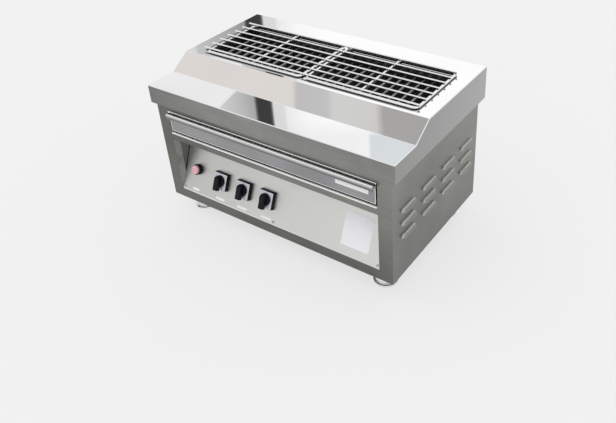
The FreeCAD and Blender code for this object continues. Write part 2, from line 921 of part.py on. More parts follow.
# Drip drawer
def make_drawer():
    sheet = size.sheet
    front = at.body_front
    side = at.post_inner - size.drawer_gap
    low = at.tray_foot
    high = low + size.drawer_front_height
    nose = front - size.lip_reach
    fold = size.lip_fold
    inner = fold - sheet
    edge = low + size.drawer_foot_gap
    face = prism("drawer_face", [
        (front + size.drawer_flange, edge),
        (front + size.drawer_flange, edge + sheet),
        (front + sheet, edge + sheet),
        (front + sheet, high),
        (nose + fold, high),
        (nose, high - fold, nose + fold, high - fold, 1),
        (nose, high - size.lip_drop),
        (nose + sheet, high - size.lip_drop),
        (nose + sheet, high - fold),
        (nose + fold, high - sheet, nose + fold, high - fold, -1),
        (front, high - sheet),
        (front, edge),
    ], (-side, side))
    finished(face, "drawer_front")

    wall = size.tray_sheet
    tray_side = at.post_inner - size.tray_gap
    tray_front = front + size.mid_rail_flange + size.drawer_seam
    tray_back = tray_front + size.tray_depth
    foot = at.tray_foot
    rim = foot + size.tray_height
    deck = block("tray_deck", (-tray_side, tray_side), (tray_front, tray_back), (foot, foot + wall))
    finished(deck, "drawer_tray")
    apron = block("tray_apron", (-tray_side, tray_side), (tray_front, tray_front + wall), (foot + wall, rim))
    hook = block("tray_hook", (-tray_side, tray_side), (front + sheet, tray_front + wall), (rim - wall, rim))
    finished(joined("tray_front", [apron, hook]), "tray_wall_front")
    finished(block("tray_back", (-tray_side + wall, tray_side - wall), (tray_back - wall, tray_back),
                   (foot + wall, rim)), "tray_wall_back")
    finished(block("tray_left", (-tray_side, -tray_side + wall), (tray_front + wall, tray_back),
                   (foot + wall, rim)), "tray_wall_left")
    finished(block("tray_right", (tray_side - wall, tray_side), (tray_front + wall, tray_back),
                   (foot + wall, rim)), "tray_wall_right")


def make_runners():
    # Rails that stand on the divider: the tray slides on the ledge and between the uprights
    sheet = size.sheet
    upright = at.post_inner + size.seam
    low = at.divider + sheet
    ledge = at.tray_foot - size.seam
    back = at.inside_back - size.divider_rear_gap
    body = new_body("runner_rail")
    sketch = trace(sketch_on(body, "runner_profile", "XZ_Plane", -back), [
        (upright + sheet, low),
        (upright + sheet, low + size.runner_height),
        (upright, low + size.runner_height),
        (upright, ledge),
        (upright - size.runner_ledge, ledge),
        (upright - size.runner_ledge, ledge - sheet),
        (upright, ledge - sheet),
        (upright, low),
    ])
    pad(body, "runner_run", sketch, back - at.body_front - size.runner_front_gap)
    right = finished(body, "drawer_runner_right")
    finished(mirrored("runner_left", right), "drawer_runner_left")


# Fire box: four walls under the cut-out, open over the drawer
def rod_place(number):
    return at.rod_step * (number - (ROD_COUNT - 1) / 2)


def make_fire_box():
    sheet = size.sheet
    half = at.box_side
    front = at.box_front
    back = at.box_back
    high = at.under_top - size.seam
    low = high - size.fire_box_height
    flange = size.fire_box_flange
    walls = block("box_outside", (-half, half), (front, back), (low, high))
    rear_flange = block("box_rear_flange", (-half, half), (back - sheet, back + flange), (high - sheet, high))
    left_flange = block("box_left_flange", (-half - flange, -half + sheet), (at.riser_back + sheet, back),
                        (high - sheet, high))
    right_flange = block("box_right_flange", (half - sheet, half + flange), (at.riser_back + sheet, back),
                         (high - sheet, high))
    inside = block("box_inside", (-half + sheet, half - sheet), (front + sheet, back - sheet),
                   (low - sheet, high + sheet))
    reach = size.rod_diameter / 2 + size.rod_clearance
    holes = [block("rod_hole_%d" % n, (rod_place(n) - reach, rod_place(n) + reach),
                   (back - 2 * sheet, back + sheet), (at.rods - reach, at.rods + reach))
             for n in range(ROD_COUNT)]
    solid = joined("fire_solid", [walls, rear_flange, left_flange, right_flange])
    finished(cut_out("fire_walls", solid, [inside] + holes), "fire_box")


def make_heaters():
    bend_y = at.box_front + size.bend_gap
    half = at.rod_step / 2
    for bank, name in enumerate(BANKS):
        hairpins = []
        for number in range(HAIRPINS_IN_A_BANK):
            tag = "%s_%d" % (name, number)
            first = 2 * (bank * HAIRPINS_IN_A_BANK + number)
            legs = [bar("rod_%s_%d" % (tag, side), (rod_place(first + side), bend_y, at.rods),
                        at.rod_end - bend_y, size.rod_diameter, "y") for side in range(2)]
            loop = bend("bend_" + tag, (rod_place(first) + half, bend_y, at.rods), half,
                        size.rod_diameter, 180, 180)
            hairpins.append(joined("hairpin_" + tag, legs + [loop]))
        finished(group("bank_" + name, hairpins), "heater_bank_" + name)


def make_heater_rest():
    # An angle bar across the fire box that carries the front of the rods
    sheet = size.sheet
    half = at.box_side - sheet - size.seam
    high = at.rods - size.rod_diameter / 2 - size.rod_clearance
    back = at.box_front + size.bend_gap + size.rest_setback
    bar = prism("rest_angle", [
        (back - size.rest_width, high - sheet),
        (back - sheet, high - sheet),
        (back - sheet, high - size.rest_height),
        (back, high - size.rest_height),
        (back, high),
        (back - size.rest_width, high),
    ], (-half, half))
    finished(bar, "heater_rest")


def make_heater_links():
    # Straps welded across the ends of neighbouring hairpins
    start = at.rod_end
    margin = size.link_height / 2
    straps = []
    for bank in range(len(BANKS)):
        for number in range(HAIRPINS_IN_A_BANK - 1):
            first = 2 * (bank * HAIRPINS_IN_A_BANK + number) + 1
            straps.append(block("strap_%d_%d" % (bank, number),
                                (rod_place(first) - margin, rod_place(first + 1) + margin),
                                (start, start + size.link_sheet), (at.rods - margin, at.rods + margin)))
    finished(group("links", straps), "heater_links")


def make_centre_bar():
    half = size.centre_bar_width / 2
    middle = grate_left_edge(1) - size.grate_gap / 2
    high = at.under_top - size.seam
    bar = block("centre_bar_strip", (middle - half, middle + half),
                (at.opening_front, at.opening_back), (high - size.centre_bar_sheet, high))
    finished(bar, "grate_centre_bar")


# Welded wire grates, which lift off
def grate_left_edge(number):
    return at.grate_start + (at.grate_width + size.grate_gap) * number


def make_grates():
    thick = size.grate_rod
    corner = size.grate_corner
    frame_z = at.top + thick / 2 + size.seam
    wire_z = frame_z + thick / 2 + size.wire_diameter / 2 - size.weld_sink
    front = at.grate_front_bar
    back = at.grate_back_bar
    for number, name in enumerate(("left", "right")):
        edge = grate_left_edge(number)
        overhang = size.grate_gap - size.wire_gap if number else size.wire_overhang
        left = edge + thick / 2
        right = edge + at.grate_width - thick / 2
        wide = right - left - 2 * corner
        deep = back - front - 2 * corner
        pieces = [
            bar(name + "_front_bar", (left + corner, front, frame_z), wide, thick, "x"),
            bar(name + "_back_bar", (left + corner, back, frame_z), wide, thick, "x"),
            bar(name + "_left_bar", (left, front + corner, frame_z), deep, thick, "y"),
            bar(name + "_right_bar", (right, front + corner, frame_z), deep, thick, "y"),
            bar(name + "_middle_bar", ((left + right) / 2, front, frame_z), back - front, thick, "y"),
            bend(name + "_corner_1", (left + corner, front + corner, frame_z), corner, thick, 180, 90),
            bend(name + "_corner_2", (right - corner, front + corner, frame_z), corner, thick, 270, 90),
            bend(name + "_corner_3", (right - corner, back - corner, frame_z), corner, thick, 0, 90),
            bend(name + "_corner_4", (left + corner, back - corner, frame_z), corner, thick, 90, 90),
        ]
        for wire in range(WIRES_IN_A_GRATE):
            y = front + size.wire_end_gap + at.wire_step * wire
            pieces.append(bar("%s_wire_%d" % (name, wire), (edge - overhang, y, wire_z),
                              at.grate_width + overhang, size.wire_diameter, "x"))
        finished(joined("grate_" + name + "_welded", pieces), "grate_" + name)


# Rotary switches: base, face plate and cam body stay, the knob with its shaft turns
def make_switches():
    half = size.switch_plate / 2
    behind = size.panel_sheet
    face = -size.switch_base_depth
    top = face - size.face_plate_sheet
    bore = size.switch_shaft + 2 * size.shaft_clearance
    cam_back = behind + size.switch_body_depth
    for number in range(len(BANKS)):
        tag = str(number + 1)
        x = switch_place(number)
        z = size.switch_height
        base = block("base_block_" + tag, (x - half, x + half), (face, 0), (z - half, z + half))
        bore_tool = rod("base_bore_" + tag, (x, face - half, z), size.switch_plate, bore, "y")
        finished(on_panel(cut_out("base_" + tag, base, [bore_tool])), "switch_base_" + tag)
        edge = half - size.face_plate_margin
        plate = block("face_sheet_" + tag, (x - edge, x + edge), (top, face), (z - edge, z + edge))
        plate_bore = rod("face_bore_" + tag, (x, top - half, z), size.switch_plate, bore, "y")
        finished(on_panel(cut_out("face_" + tag, plate, [plate_bore])), "switch_face_" + tag)
        cam = size.switch_body / 2
        stack = block("cam_stack_" + tag, (x - cam, x + cam), (behind, cam_back), (z - cam, z + cam))
        cam_bore = rod("cam_bore_" + tag, (x, 0, z), behind + size.switch_body_depth / 2, bore, "y")
        finished(on_panel(cut_out("cam_" + tag, stack, [cam_bore])), "switch_body_" + tag)
        make_knob(tag, x, z, top - size.knob_gap, behind + size.switch_body_depth / 2 - size.knob_gap)


def make_knob(tag, x, z, seat, shaft_end):
    # A round collar with a straight grip that points down, on the switch's shaft
    collar = rod("collar_" + tag, (x, seat - size.knob_collar, z), size.knob_collar, size.knob_diameter, "y")
    half = size.knob_grip_width / 2
    body = new_body("grip_" + tag)
    sketch = sketch_on(body, "grip_outline_" + tag, "XZ_Plane", -seat + size.knob_collar - size.weld_sink)
    up = z + size.knob_grip_up - half
    down = z - size.knob_grip_down
    trace(sketch, [
        (x - half, down),
        (x + half, down),
        (x + half, up),
        (x - half, up, x, up, 1),
    ])
    pad(body, "grip_height_" + tag, sketch, size.knob_grip_height + size.weld_sink)
    shaft = rod("shaft_" + tag, (x, seat - size.weld_sink, z), shaft_end - seat + size.weld_sink,
                size.switch_shaft, "y")
    finished(on_panel(joined("knob_" + tag, [collar, body, shaft])), "switch_knob_" + tag)


# Pilot lamp
def make_lamp():
    x = lamp_place()
    z = size.lamp_height
    behind = size.panel_sheet
    ring = rod("bezel_ring", (x, -size.lamp_reach, z), size.lamp_reach, size.lamp_bezel, "y")
    well = rod("bezel_well", (x, -size.lamp_reach - behind, z), size.lamp_reach / 2 + behind,
               size.lamp_lens + 2 * size.shaft_clearance, "y")
    neck = rod("lamp_neck", (x, -behind, z), size.lamp_body_depth + behind, size.lamp_neck, "y")
    cup = cut_out("bezel_cup", ring, [well])
    finished(on_panel(joined("lamp_body", [cup, neck])), "lamp_housing")
    seat = -size.lamp_reach / 2 - size.shaft_clearance
    lens = rod("lens_disc", (x, seat - size.lamp_reach / 2 - size.lamp_lens_reach, z),
               size.lamp_reach / 2 + size.lamp_lens_reach, size.lamp_lens, "y")
    finished(on_panel(group("lens_seated", [lens])), "lamp_lens")


def make_panel_screws():
    screws = []
    for number, place in enumerate(panel_screw_places()):
        head = bar("screw_head_%d" % number, (place, -size.screw_head_height, size.panel_screw_height),
                   size.screw_head_height, size.screw_head, "y")
        shank = bar("screw_shank_%d" % number, (place, -size.weld_sink, size.panel_screw_height),
                    size.screw_length + size.weld_sink, size.screw_shank, "y")
        screws.append(joined("screw_%d" % number, [head, shank]))
    finished(on_panel(group("panel_screw_set", screws)), "panel_screws")


def six_sided(name, start, height, across):
    # A nut's outside, sized across its flats
    nut = doc.addObject("Part::Prism", name)
    nut.Polygon = 6
    bind(nut, "Circumradius", across / root(as_length(3)))
    bind(nut, "Height", height)
    return put(nut, *start)


# Feet: a flanged disc, a neck, a dome and a threaded stud, turned in one profile
def make_feet():
    disc = size.foot_disc / 2
    rim = size.foot_rim
    flange = size.foot_disc_height
    neck = size.foot_neck / 2
    collar = flange + size.foot_neck_height
    dome = size.foot_dome / 2
    crown = collar + size.foot_dome_height
    top = size.foot_dome_top / 2
    stud = size.foot_stud / 2
    socket_pieces = []
    locknuts = []
    for name, x, y in foot_places():
        body = turned("foot_" + name + "_turned", [
            (disc, 0),
            (disc, flange - rim),
            (disc - rim, flange),
            (neck, flange),
            (neck, collar),
            (dome, collar),
            (top, crown),
            (stud, crown),
            (stud, size.foot_height + size.foot_stud_rise),
            (0, size.foot_height + size.foot_stud_rise),
            (0, 0),
        ])
        finished(put(body, x, y, 0), "foot_" + name)
        bore = size.foot_stud + 2 * size.stud_clearance
        low = at.floor + 2 * size.sheet + size.seam
        barrel = six_sided("socket_" + name, (x, y, low), size.socket_height, size.socket_across)
        drill = six_sided("socket_bore_" + name, (x, y, low - size.sheet),
                          size.socket_height + 2 * size.sheet, bore)
        socket_pieces.append(cut_out("foot_socket_" + name, barrel, [drill]))
        hexagon = six_sided("nut_" + name, (x, y, at.floor - size.locknut_height), size.locknut_height,
                            size.locknut_across)
        nut_drill = rod("nut_bore_" + name, (x, y, at.floor - size.locknut_height - size.sheet),
                        size.locknut_height + 2 * size.sheet, bore)
        locknuts.append(cut_out("locknut_" + name, hexagon, [nut_drill]))
    finished(group("sockets", socket_pieces), "foot_sockets")
    finished(group("locknuts", locknuts), "foot_locknuts")


make_top_cover()
make_side_panels()
make_bottom_rail()
make_mid_rail()
make_header_rail()
make_control_panel()
make_cheeks()
make_bottom_plate()
make_divider()
make_back_panel()
make_cable_gland()
make_terminal_block()
make_drawer()
make_runners()
make_fire_box()
make_heaters()
make_heater_rest()
make_heater_links()
make_centre_bar()
make_grates()
make_switches()
make_lamp()
make_panel_screws()
make_feet()
doc.recompute()

# Every object must be sound before anything is written
for thing in doc.Objects:
    if "Invalid" in thing.State or "Error" in thing.State:
        raise RuntimeError("failed to build: " + thing.Name)
for piece in subparts:
    if piece.Shape.isNull() or not piece.Shape.isValid():
        raise RuntimeError("bad solid: " + piece.Label)
for piece in subparts:
    piece.Shape.exportStep("parts/%s.step" % piece.Label)
whole = Part.makeCompound([piece.Shape for piece in subparts])
print("%d sub-parts, box %s" % (len(subparts), whole.BoundBox))
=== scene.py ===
# %% [markdown]
# This lesson dresses an electric wire grill in Blender. The folded sheets already come as solids
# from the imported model, so they are loaded as a fixed frame and only get finishes. What needs rounder
# forms, such as the wire, the knobs and the feet, is modelled on top, piece by piece.
# %% Load the frame
import bpy
import math
from mathutils import Matrix, Vector


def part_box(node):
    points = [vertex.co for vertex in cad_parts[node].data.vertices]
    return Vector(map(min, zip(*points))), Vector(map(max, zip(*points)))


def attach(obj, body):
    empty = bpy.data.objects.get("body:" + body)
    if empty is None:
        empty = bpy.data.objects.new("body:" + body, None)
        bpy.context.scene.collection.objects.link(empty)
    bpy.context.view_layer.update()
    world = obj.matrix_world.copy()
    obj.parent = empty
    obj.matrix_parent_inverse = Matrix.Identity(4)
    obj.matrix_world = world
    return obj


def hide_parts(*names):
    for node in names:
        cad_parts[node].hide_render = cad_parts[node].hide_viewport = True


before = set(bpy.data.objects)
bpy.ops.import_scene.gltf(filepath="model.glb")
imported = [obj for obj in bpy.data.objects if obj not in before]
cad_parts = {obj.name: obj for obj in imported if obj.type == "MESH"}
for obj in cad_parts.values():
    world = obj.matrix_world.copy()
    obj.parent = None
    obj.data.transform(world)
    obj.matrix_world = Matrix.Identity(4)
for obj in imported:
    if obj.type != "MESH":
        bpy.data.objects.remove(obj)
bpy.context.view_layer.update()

# %% [markdown]
# The camera stands where the photograph was taken: to the right of the grill, high up, looking down
# on the wire and along the front. Its place was worked out from the corners of the cover.
# %% Camera
camera_data = bpy.data.cameras.new("grill_camera")
camera = bpy.data.objects.new("grill_camera", camera_data)
bpy.context.scene.collection.objects.link(camera)
camera.location = (1.0114713, -1.2733576, 1.2322133)
camera.rotation_euler = [math.radians(a) for a in (58.2875924, 2.8253477, 34.4185811)]
camera_data.sensor_width = 36
camera_data.lens = 40.8823703
camera_data.shift_x = -0.0555896
camera_data.shift_y = -0.1192632
camera_data.clip_end = 100
bpy.context.scene.camera = camera
bpy.context.scene.view_settings.view_transform = "Standard"
print("camera stands", [round(v, 3) for v in camera.location])

# %% [markdown]
# Every finish here is a node tree. Small helpers keep them readable: one starts a material with its
# plain values on the shader, one adds a node and wires it up in one line, and the rest build on it.
# %% Material helpers
def finish_named(name, colour, metallic, roughness):
    material = bpy.data.materials.new(name)
    material.use_nodes = True
    shader = material.node_tree.nodes["Principled BSDF"]
    shader.inputs["Base Color"].default_value = (*colour, 1)
    shader.inputs["Metallic"].default_value = metallic
    shader.inputs["Roughness"].default_value = roughness
    return material, shader


def node(material, kind, inputs=(), **settings):
    made = material.node_tree.nodes.new(kind)
    for key, value in settings.items():
        setattr(made, key, value)
    for key, value in dict(inputs).items():
        if hasattr(value, "is_output"):
            material.node_tree.links.new(value, made.inputs[key])
        else:
            made.inputs[key].default_value = value
    return made


def object_noise(material, stretch, detail=2.0):
    spot = node(material, "ShaderNodeTexCoord").outputs["Object"]
    scaled = node(material, "ShaderNodeMapping", {"Vector": spot, "Scale": stretch}).outputs[0]
    settings = {"Vector": scaled, "Scale": 1.0, "Detail": detail}
    return node(material, "ShaderNodeTexNoise", settings).outputs["Fac"]


def spread(material, source, low, high, start=0.3, end=0.7):
    steps = {"Value": source, "From Min": start, "From Max": end, "To Min": low, "To Max": high}
    return node(material, "ShaderNodeMapRange", steps).outputs["Result"]


def rising(material, source, start, end):
    return spread(material, source, 0.0, 1.0, start, end)


def falling(material, source, start, end):
    return spread(material, source, 1.0, 0.0, start, end)


def tint(material, source, dark, light, start=0.3, end=0.7):
    ramp = node(material, "ShaderNodeValToRGB", {"Fac": source})
    ramp.color_ramp.elements[0].position = start
    ramp.color_ramp.elements[0].color = (*dark, 1)
    ramp.color_ramp.elements[1].position = end
    ramp.color_ramp.elements[1].color = (*light, 1)
    return ramp.outputs["Color"]


def wire_up(material, output, shader, socket):
    material.node_tree.links.new(output, shader.inputs[socket])


def colour_so_far(shader):
    return shader.inputs["Base Color"].links[0].from_socket


def bump_up(material, shader, source, strength, distance):
    settings = {"Height": source, "Strength": strength, "Distance": distance}
    wire_up(material, node(material, "ShaderNodeBump", settings).outputs["Normal"], shader, "Normal")


print("helpers ready")

# %% [markdown]
# The sheets differ by the way they face: a folded edge that turns up gets a painted highlight, as if it
# caught the ceiling, and an upright face stays dull. These helpers read the facing and the place on
# the object, join such masks, and turn them into shares and tones of a colour.
# %% Masks by facing and place
def facing(material, axis):
    shape = node(material, "ShaderNodeNewGeometry").outputs["Normal"]
    return node(material, "ShaderNodeSeparateXYZ", {"Vector": shape}).outputs[axis]


def place(material, axis):
    spot = node(material, "ShaderNodeTexCoord").outputs["Object"]
    return node(material, "ShaderNodeSeparateXYZ", {"Vector": spot}).outputs[axis]


def combine(material, operation, first, second):
    made = node(material, "ShaderNodeMath", operation=operation)
    for socket, value in zip(made.inputs, (first, second)):
        if hasattr(value, "is_output"):
            material.node_tree.links.new(value, socket)
        else:
            socket.default_value = value
    return made.outputs[0]


def product(material, first, *others):
    for other in others:
        first = combine(material, "MULTIPLY", first, other)
    return first


def amount(material, source):
    return combine(material, "ABSOLUTE", source, 0)


def blended(material, share, low, high, kind="MIX"):
    mixed = node(material, "ShaderNodeMix", data_type="RGBA", blend_type=kind)
    for key, value in (("Factor", share), ("A", low), ("B", high)):
        socket = [s for s in mixed.inputs if s.name == key and (s.type == "RGBA") == (key != "Factor")][0]
        if hasattr(value, "is_output"):
            material.node_tree.links.new(value, socket)
        elif key == "Factor":
            socket.default_value = value
        else:
            socket.default_value = (*value, 1)
    return [s for s in mixed.outputs if s.type == "RGBA"][0]


def shaded(material, colour, factor):
    return blended(material, 1.0, colour, factor, "MULTIPLY")


def tones(material, source, start, end, stops):
    made = node(material, "ShaderNodeValToRGB", {"Fac": rising(material, source, start, end)})
    steps = made.color_ramp.elements
    for number, (spot, tone) in enumerate(stops):
        step = steps[number] if number < 2 else steps.new(1.0)
        step.position = (spot - start) / (end - start)
        step.color = (tone, tone, tone, 1) if isinstance(tone, float) else (*tone, 1)
    return made.outputs["Color"]


print("mask helpers ready")

# %% [markdown]
# The body is brushed stainless sheet: fine scratches run level along every face, and broad soft
# clouds of tone lie over them. Noise squeezed hard in height and stretched along the sheet gives the
# scratches on the front and on the sides alike. Painted shade makes the steel darker towards the foot,
# for the dim ground it would mirror there, and a painted highlight makes its turned-up edges brighter.
# The control panel has a finer grain, and a painted tone of light brightens it towards the right.
# %% Brushed steel
BRUSHED = (6, 6, 900)
FINER_BRUSHED = (30, 30, 700)
FOOT_Z, HEAD_Z = 0.05, 0.40
PANEL_END_X = 0.33


# edge is the colour of the painted highlight on turned-up faces, and foot the tone of the painted shade at the
# foot.
def sheet_steel(name, dark, light, edge, grain=BRUSHED, rough=(0.24, 0.36), foot=0.62):
    material, shader = finish_named(name, light, 1.0, rough[1])
    scratches = object_noise(material, grain, 3.0)
    clouds = tint(material, object_noise(material, (7, 7, 5)), (0.84, 0.84, 0.85), (1.04, 1.04, 1.04))
    # Painted shade: the steel darkens towards the foot.
    painted_foot_shade = tones(material, place(material, "Z"), FOOT_Z, HEAD_Z, ((FOOT_Z, foot), (HEAD_Z, 1.0)))
    tone = shaded(material, tint(material, scratches, dark, light), clouds)
    tone = shaded(material, tone, painted_foot_shade)
    # Painted highlight: faces that turn up take the bright edge colour.
    painted_edge_highlight = rising(material, facing(material, "Z"), 0.10, 0.35)
    wire_up(material, blended(material, painted_edge_highlight, tone, edge), shader, "Base Color")
    wire_up(material, spread(material, scratches, *rough), shader, "Roughness")
    bump_up(material, shader, scratches, 0.12, 0.0004)
    return material, shader


panel_steel, panel_shader = sheet_steel("panel_steel", (0.62, 0.615, 0.59), (0.72, 0.71, 0.69),
                                        (0.7, 0.7, 0.68), FINER_BRUSHED, (0.36, 0.5), 1.0)
# Painted light: the panel grows brighter towards the right.
across = tones(panel_steel, place(panel_steel, "X"), -PANEL_END_X, PANEL_END_X,
               ((-PANEL_END_X, 0.86), (-0.05, 1.0), (PANEL_END_X, 1.08)))
wire_up(panel_steel, shaded(panel_steel, colour_so_far(panel_shader), across), panel_shader, "Base Color")
inner_steel = sheet_steel("inner_steel", (0.20, 0.19, 0.175), (0.34, 0.33, 0.31), (0.4, 0.4, 0.4),
                          rough=(0.3, 0.5))[0]
print("panel and inner steels made")

# %% [markdown]
# The side panels carry pressed louvres. Pressing stretches the sheet, so the hoods have a tone of their
# own, and along each hood's roof near the flat side lies a painted highlight, pale and less metallic.
# The mask is simply how far a point stands out. The faces that close the panel's recess at its ends get
# the same pale painted highlight. Broad painted tones of light follow the place: along the sides, and
# across the front, where they paint the reflection of one end of the room on the low parts and of the
# other on the high parts.
# %% Body steel
FRONT_Y = 0.222
SIDE_X = 0.367
HOOD_X = (0.3672, 0.3680)
HOOD_HIGHLIGHT_FADE_X = (0.3700, 0.3735)
RECESS_X = (0.3280, 0.3300)
LOW_TO_HIGH_Z = (0.10, 0.24)
WHITE = (1.0, 1.0, 1.0)
body_steel, body_shader = sheet_steel("body_steel", (0.235, 0.235, 0.215), (0.30, 0.30, 0.28),
                                      (0.85, 0.85, 0.84))
outward = amount(body_steel, place(body_steel, "X"))
sideways = amount(body_steel, facing(body_steel, "X"))
frontal = falling(body_steel, facing(body_steel, "Y"), -0.9, -0.5)
roof = rising(body_steel, facing(body_steel, "Z"), 0.1, 0.5)
hood = rising(body_steel, outward, *HOOD_X)
# Painted highlight: a pale, less metallic strip on each hood's roof near the flat side.
painted_hood_highlight = product(body_steel, hood, falling(body_steel, outward, *HOOD_HIGHLIGHT_FADE_X), roof)
# Painted highlight: the faces that close the recess are pale and less metallic.
painted_recess_highlight = product(body_steel, falling(body_steel, outward, *RECESS_X), rising(body_steel, sideways, 0.7, 0.9))
# Painted light and shade along the sides, set by place from front to back.
painted_side_light = tones(body_steel, place(body_steel, "Y"), -FRONT_Y, FRONT_Y,
                  ((-FRONT_Y, 1.08), (-0.15, 0.96), (0.0, 1.0), (FRONT_Y, 1.13)))
# Painted reflection across the front: one set of tones for the low parts, another for the high parts.
low_painted_reflection = tones(body_steel, place(body_steel, "X"), -SIDE_X, SIDE_X,
                 ((-SIDE_X, 1.08), (0.0, 0.92), (0.30, 0.84), (SIDE_X, 1.0)))
high_painted_reflection = tones(body_steel, place(body_steel, "X"), -SIDE_X, SIDE_X,
                  ((-SIDE_X, 0.72), (-0.25, 0.66), (0.0, 1.08), (SIDE_X, 1.16)))
height = rising(body_steel, place(body_steel, "Z"), *LOW_TO_HIGH_Z)
painted_front_reflection = blended(body_steel, height, low_painted_reflection, high_painted_reflection)
base = blended(body_steel, hood, colour_so_far(body_shader), (0.27, 0.27, 0.253))
base = shaded(body_steel, base, blended(body_steel, sideways, WHITE, painted_side_light))
base = shaded(body_steel, base, blended(body_steel, frontal, WHITE, painted_front_reflection))
base = blended(body_steel, painted_recess_highlight, base, (0.46, 0.46, 0.44))
wire_up(body_steel, blended(body_steel, painted_hood_highlight, base, (0.60, 0.60, 0.57)), body_shader, "Base Color")
painted_pale_parts = combine(body_steel, "MAXIMUM", painted_hood_highlight, painted_recess_highlight)
wire_up(body_steel, spread(body_steel, painted_pale_parts, 1.0, 0.15, 0, 1), body_shader, "Metallic")
print("body steel made")

# %% [markdown]
# The drawer's sheet is a little warmer. Its front edge is folded into a lip, and light and shade are
# painted along it: a painted highlight on the fold, a fine painted dark line under it, and a paler
# painted tone on the lip's face below.
# %% Drawer steel
LIP_Y = (-0.2225, -0.2215)
LIP_Z = (0.318, 0.332)
LIP_PAINTED_LIGHT = ((0.3205, 0.25), (0.3228, 0.29), (0.3242, 0.17), (0.3256, 0.16), (0.3270, 0.32), (0.3305, 0.66))
drawer_steel, drawer_shader = sheet_steel("drawer_steel", (0.30, 0.29, 0.30), (0.40, 0.39, 0.40),
                                          (0.95, 0.95, 0.95), foot=1.0)
lip = falling(drawer_steel, place(drawer_steel, "Y"), *LIP_Y)
# Painted light on the lip by height: a highlight on the fold, a dark line under it, a paler face below.
lip_painted_light = tones(drawer_steel, place(drawer_steel, "Z"), *LIP_Z, LIP_PAINTED_LIGHT)
base = blended(drawer_steel, lip, colour_so_far(drawer_shader), lip_painted_light)
wire_up(drawer_steel, base, drawer_shader, "Base Color")
print("drawer steel made")

# %% [markdown]
# Rolled trims are the same sheet, a little smoother, and painted nearly white as their highlight, with only a
# trace of the brush marks.
# %% Trim steel
BRUSH_MARKS = (8, 60, 60)
hem_highlight_steel, trim_shader = finish_named("hem_highlight_steel", (0.95, 0.95, 0.95), 1.0, 0.2)
marks = object_noise(hem_highlight_steel, BRUSH_MARKS, 3.0)
# Painted highlight: the hems are near white, with a trace of the brush marks.
hem_highlight_and_marks = tint(hem_highlight_steel, marks, (0.86, 0.86, 0.86), (0.98, 0.98, 0.97))
wire_up(hem_highlight_steel, hem_highlight_and_marks, trim_shader, "Base Color")
wire_up(hem_highlight_steel, spread(hem_highlight_steel, marks, 0.16, 0.28), trim_shader, "Roughness")
print("trim steel made")

# %% [markdown]
# The drawer's nose is a rolled bead. Light and shade are painted on it by the way its surface faces: a
# painted highlight on its top, a fine painted dark line under it, and a paler painted tone on its lower
# half. Its rear gets a dark painted shade, which the header above it mirrors.
# %% Bead steel
NOSE_PAINTED_LIGHT = ((-0.8, 0.55), (-0.1, 0.66), (0.06, 0.68), (0.16, 0.46), (0.34, 0.46), (0.44, 1.0), (0.9, 1.0),
              (0.99, 0.9))
bead_steel, bead_shader = finish_named("bead_steel", (0.95, 0.95, 0.95), 1.0, 0.12)
# Painted light and shade by facing: a bright top, a fine dark line, a paler lower half.
painted_nose_light = tones(bead_steel, facing(bead_steel, "Z"), -1.0, 1.0, NOSE_PAINTED_LIGHT)
# Painted shade on the bead's rear.
painted_rear_shade = rising(bead_steel, facing(bead_steel, "Y"), 0.3, 0.6)
painted_nose_light = blended(bead_steel, painted_rear_shade, painted_nose_light, (0.1, 0.1, 0.1))
marks = object_noise(bead_steel, BRUSH_MARKS, 3.0)
painted_nose_light = shaded(bead_steel, painted_nose_light, tint(bead_steel, marks, (0.94, 0.94, 0.94), WHITE))
wire_up(bead_steel, painted_nose_light, bead_shader, "Base Color")
print("bead steel made")

# %% [markdown]
# The cover is the same steel, but its top faces are polished to a mirror and only its skirts keep a
# brushed look. The way a face points tells the two apart, so one material serves the whole cover; the
# same mask also paints light, with the tops near white and the skirts dark. The side skirts get a
# brighter painted reflection than the front one, more so towards the back, and the front skirt a
# painted tone of light across it.
# %% Cover steel
COVER_X, COVER_Y = 0.38, 0.23
cover_steel, cover_shader = finish_named("cover_steel", (0.8, 0.8, 0.8), 1.0, 0.1)
# Painted light by facing: this mask makes the tops near white and leaves the skirts dark, besides setting the
# polish.
polish_and_painted_light = rising(cover_steel, facing(cover_steel, "Z"), 0.15, 0.4)
sideways = rising(cover_steel, amount(cover_steel, facing(cover_steel, "X")), 0.5, 0.8)
scratches = object_noise(cover_steel, BRUSHED, 3.0)
smudges = tint(cover_steel, object_noise(cover_steel, (9, 9, 14), 3.0), (0.84, 0.84, 0.85),
               (1.06, 1.06, 1.06))
skirt = tint(cover_steel, scratches, (0.255, 0.255, 0.245), (0.325, 0.325, 0.315))
skirt = shaded(cover_steel, skirt, smudges)
# Painted tones of light across the front skirt and a painted reflection along the side skirts.
across = tones(cover_steel, place(cover_steel, "X"), -COVER_X, COVER_X,
               ((-COVER_X, 0.72), (-0.2, 0.92), (0.0, 1.05), (COVER_X, 0.92)))
painted_side_skirt_reflection = tones(cover_steel, place(cover_steel, "Y"), -COVER_Y, COVER_Y,
              ((-COVER_Y, (0.32, 0.32, 0.315)), (COVER_Y, (0.42, 0.425, 0.42))))
skirt = blended(cover_steel, sideways, shaded(cover_steel, skirt, across), painted_side_skirt_reflection)
painted_bright_top = tint(cover_steel, object_noise(cover_steel, (5, 5, 5)), (0.92, 0.92, 0.925), (0.965, 0.965, 0.965))
wire_up(cover_steel, blended(cover_steel, polish_and_painted_light, skirt, painted_bright_top), cover_shader, "Base Color")
wire_up(cover_steel, spread(cover_steel, polish_and_painted_light, 0.3, 0.02, 0, 1), cover_shader, "Roughness")
print("cover steel made")

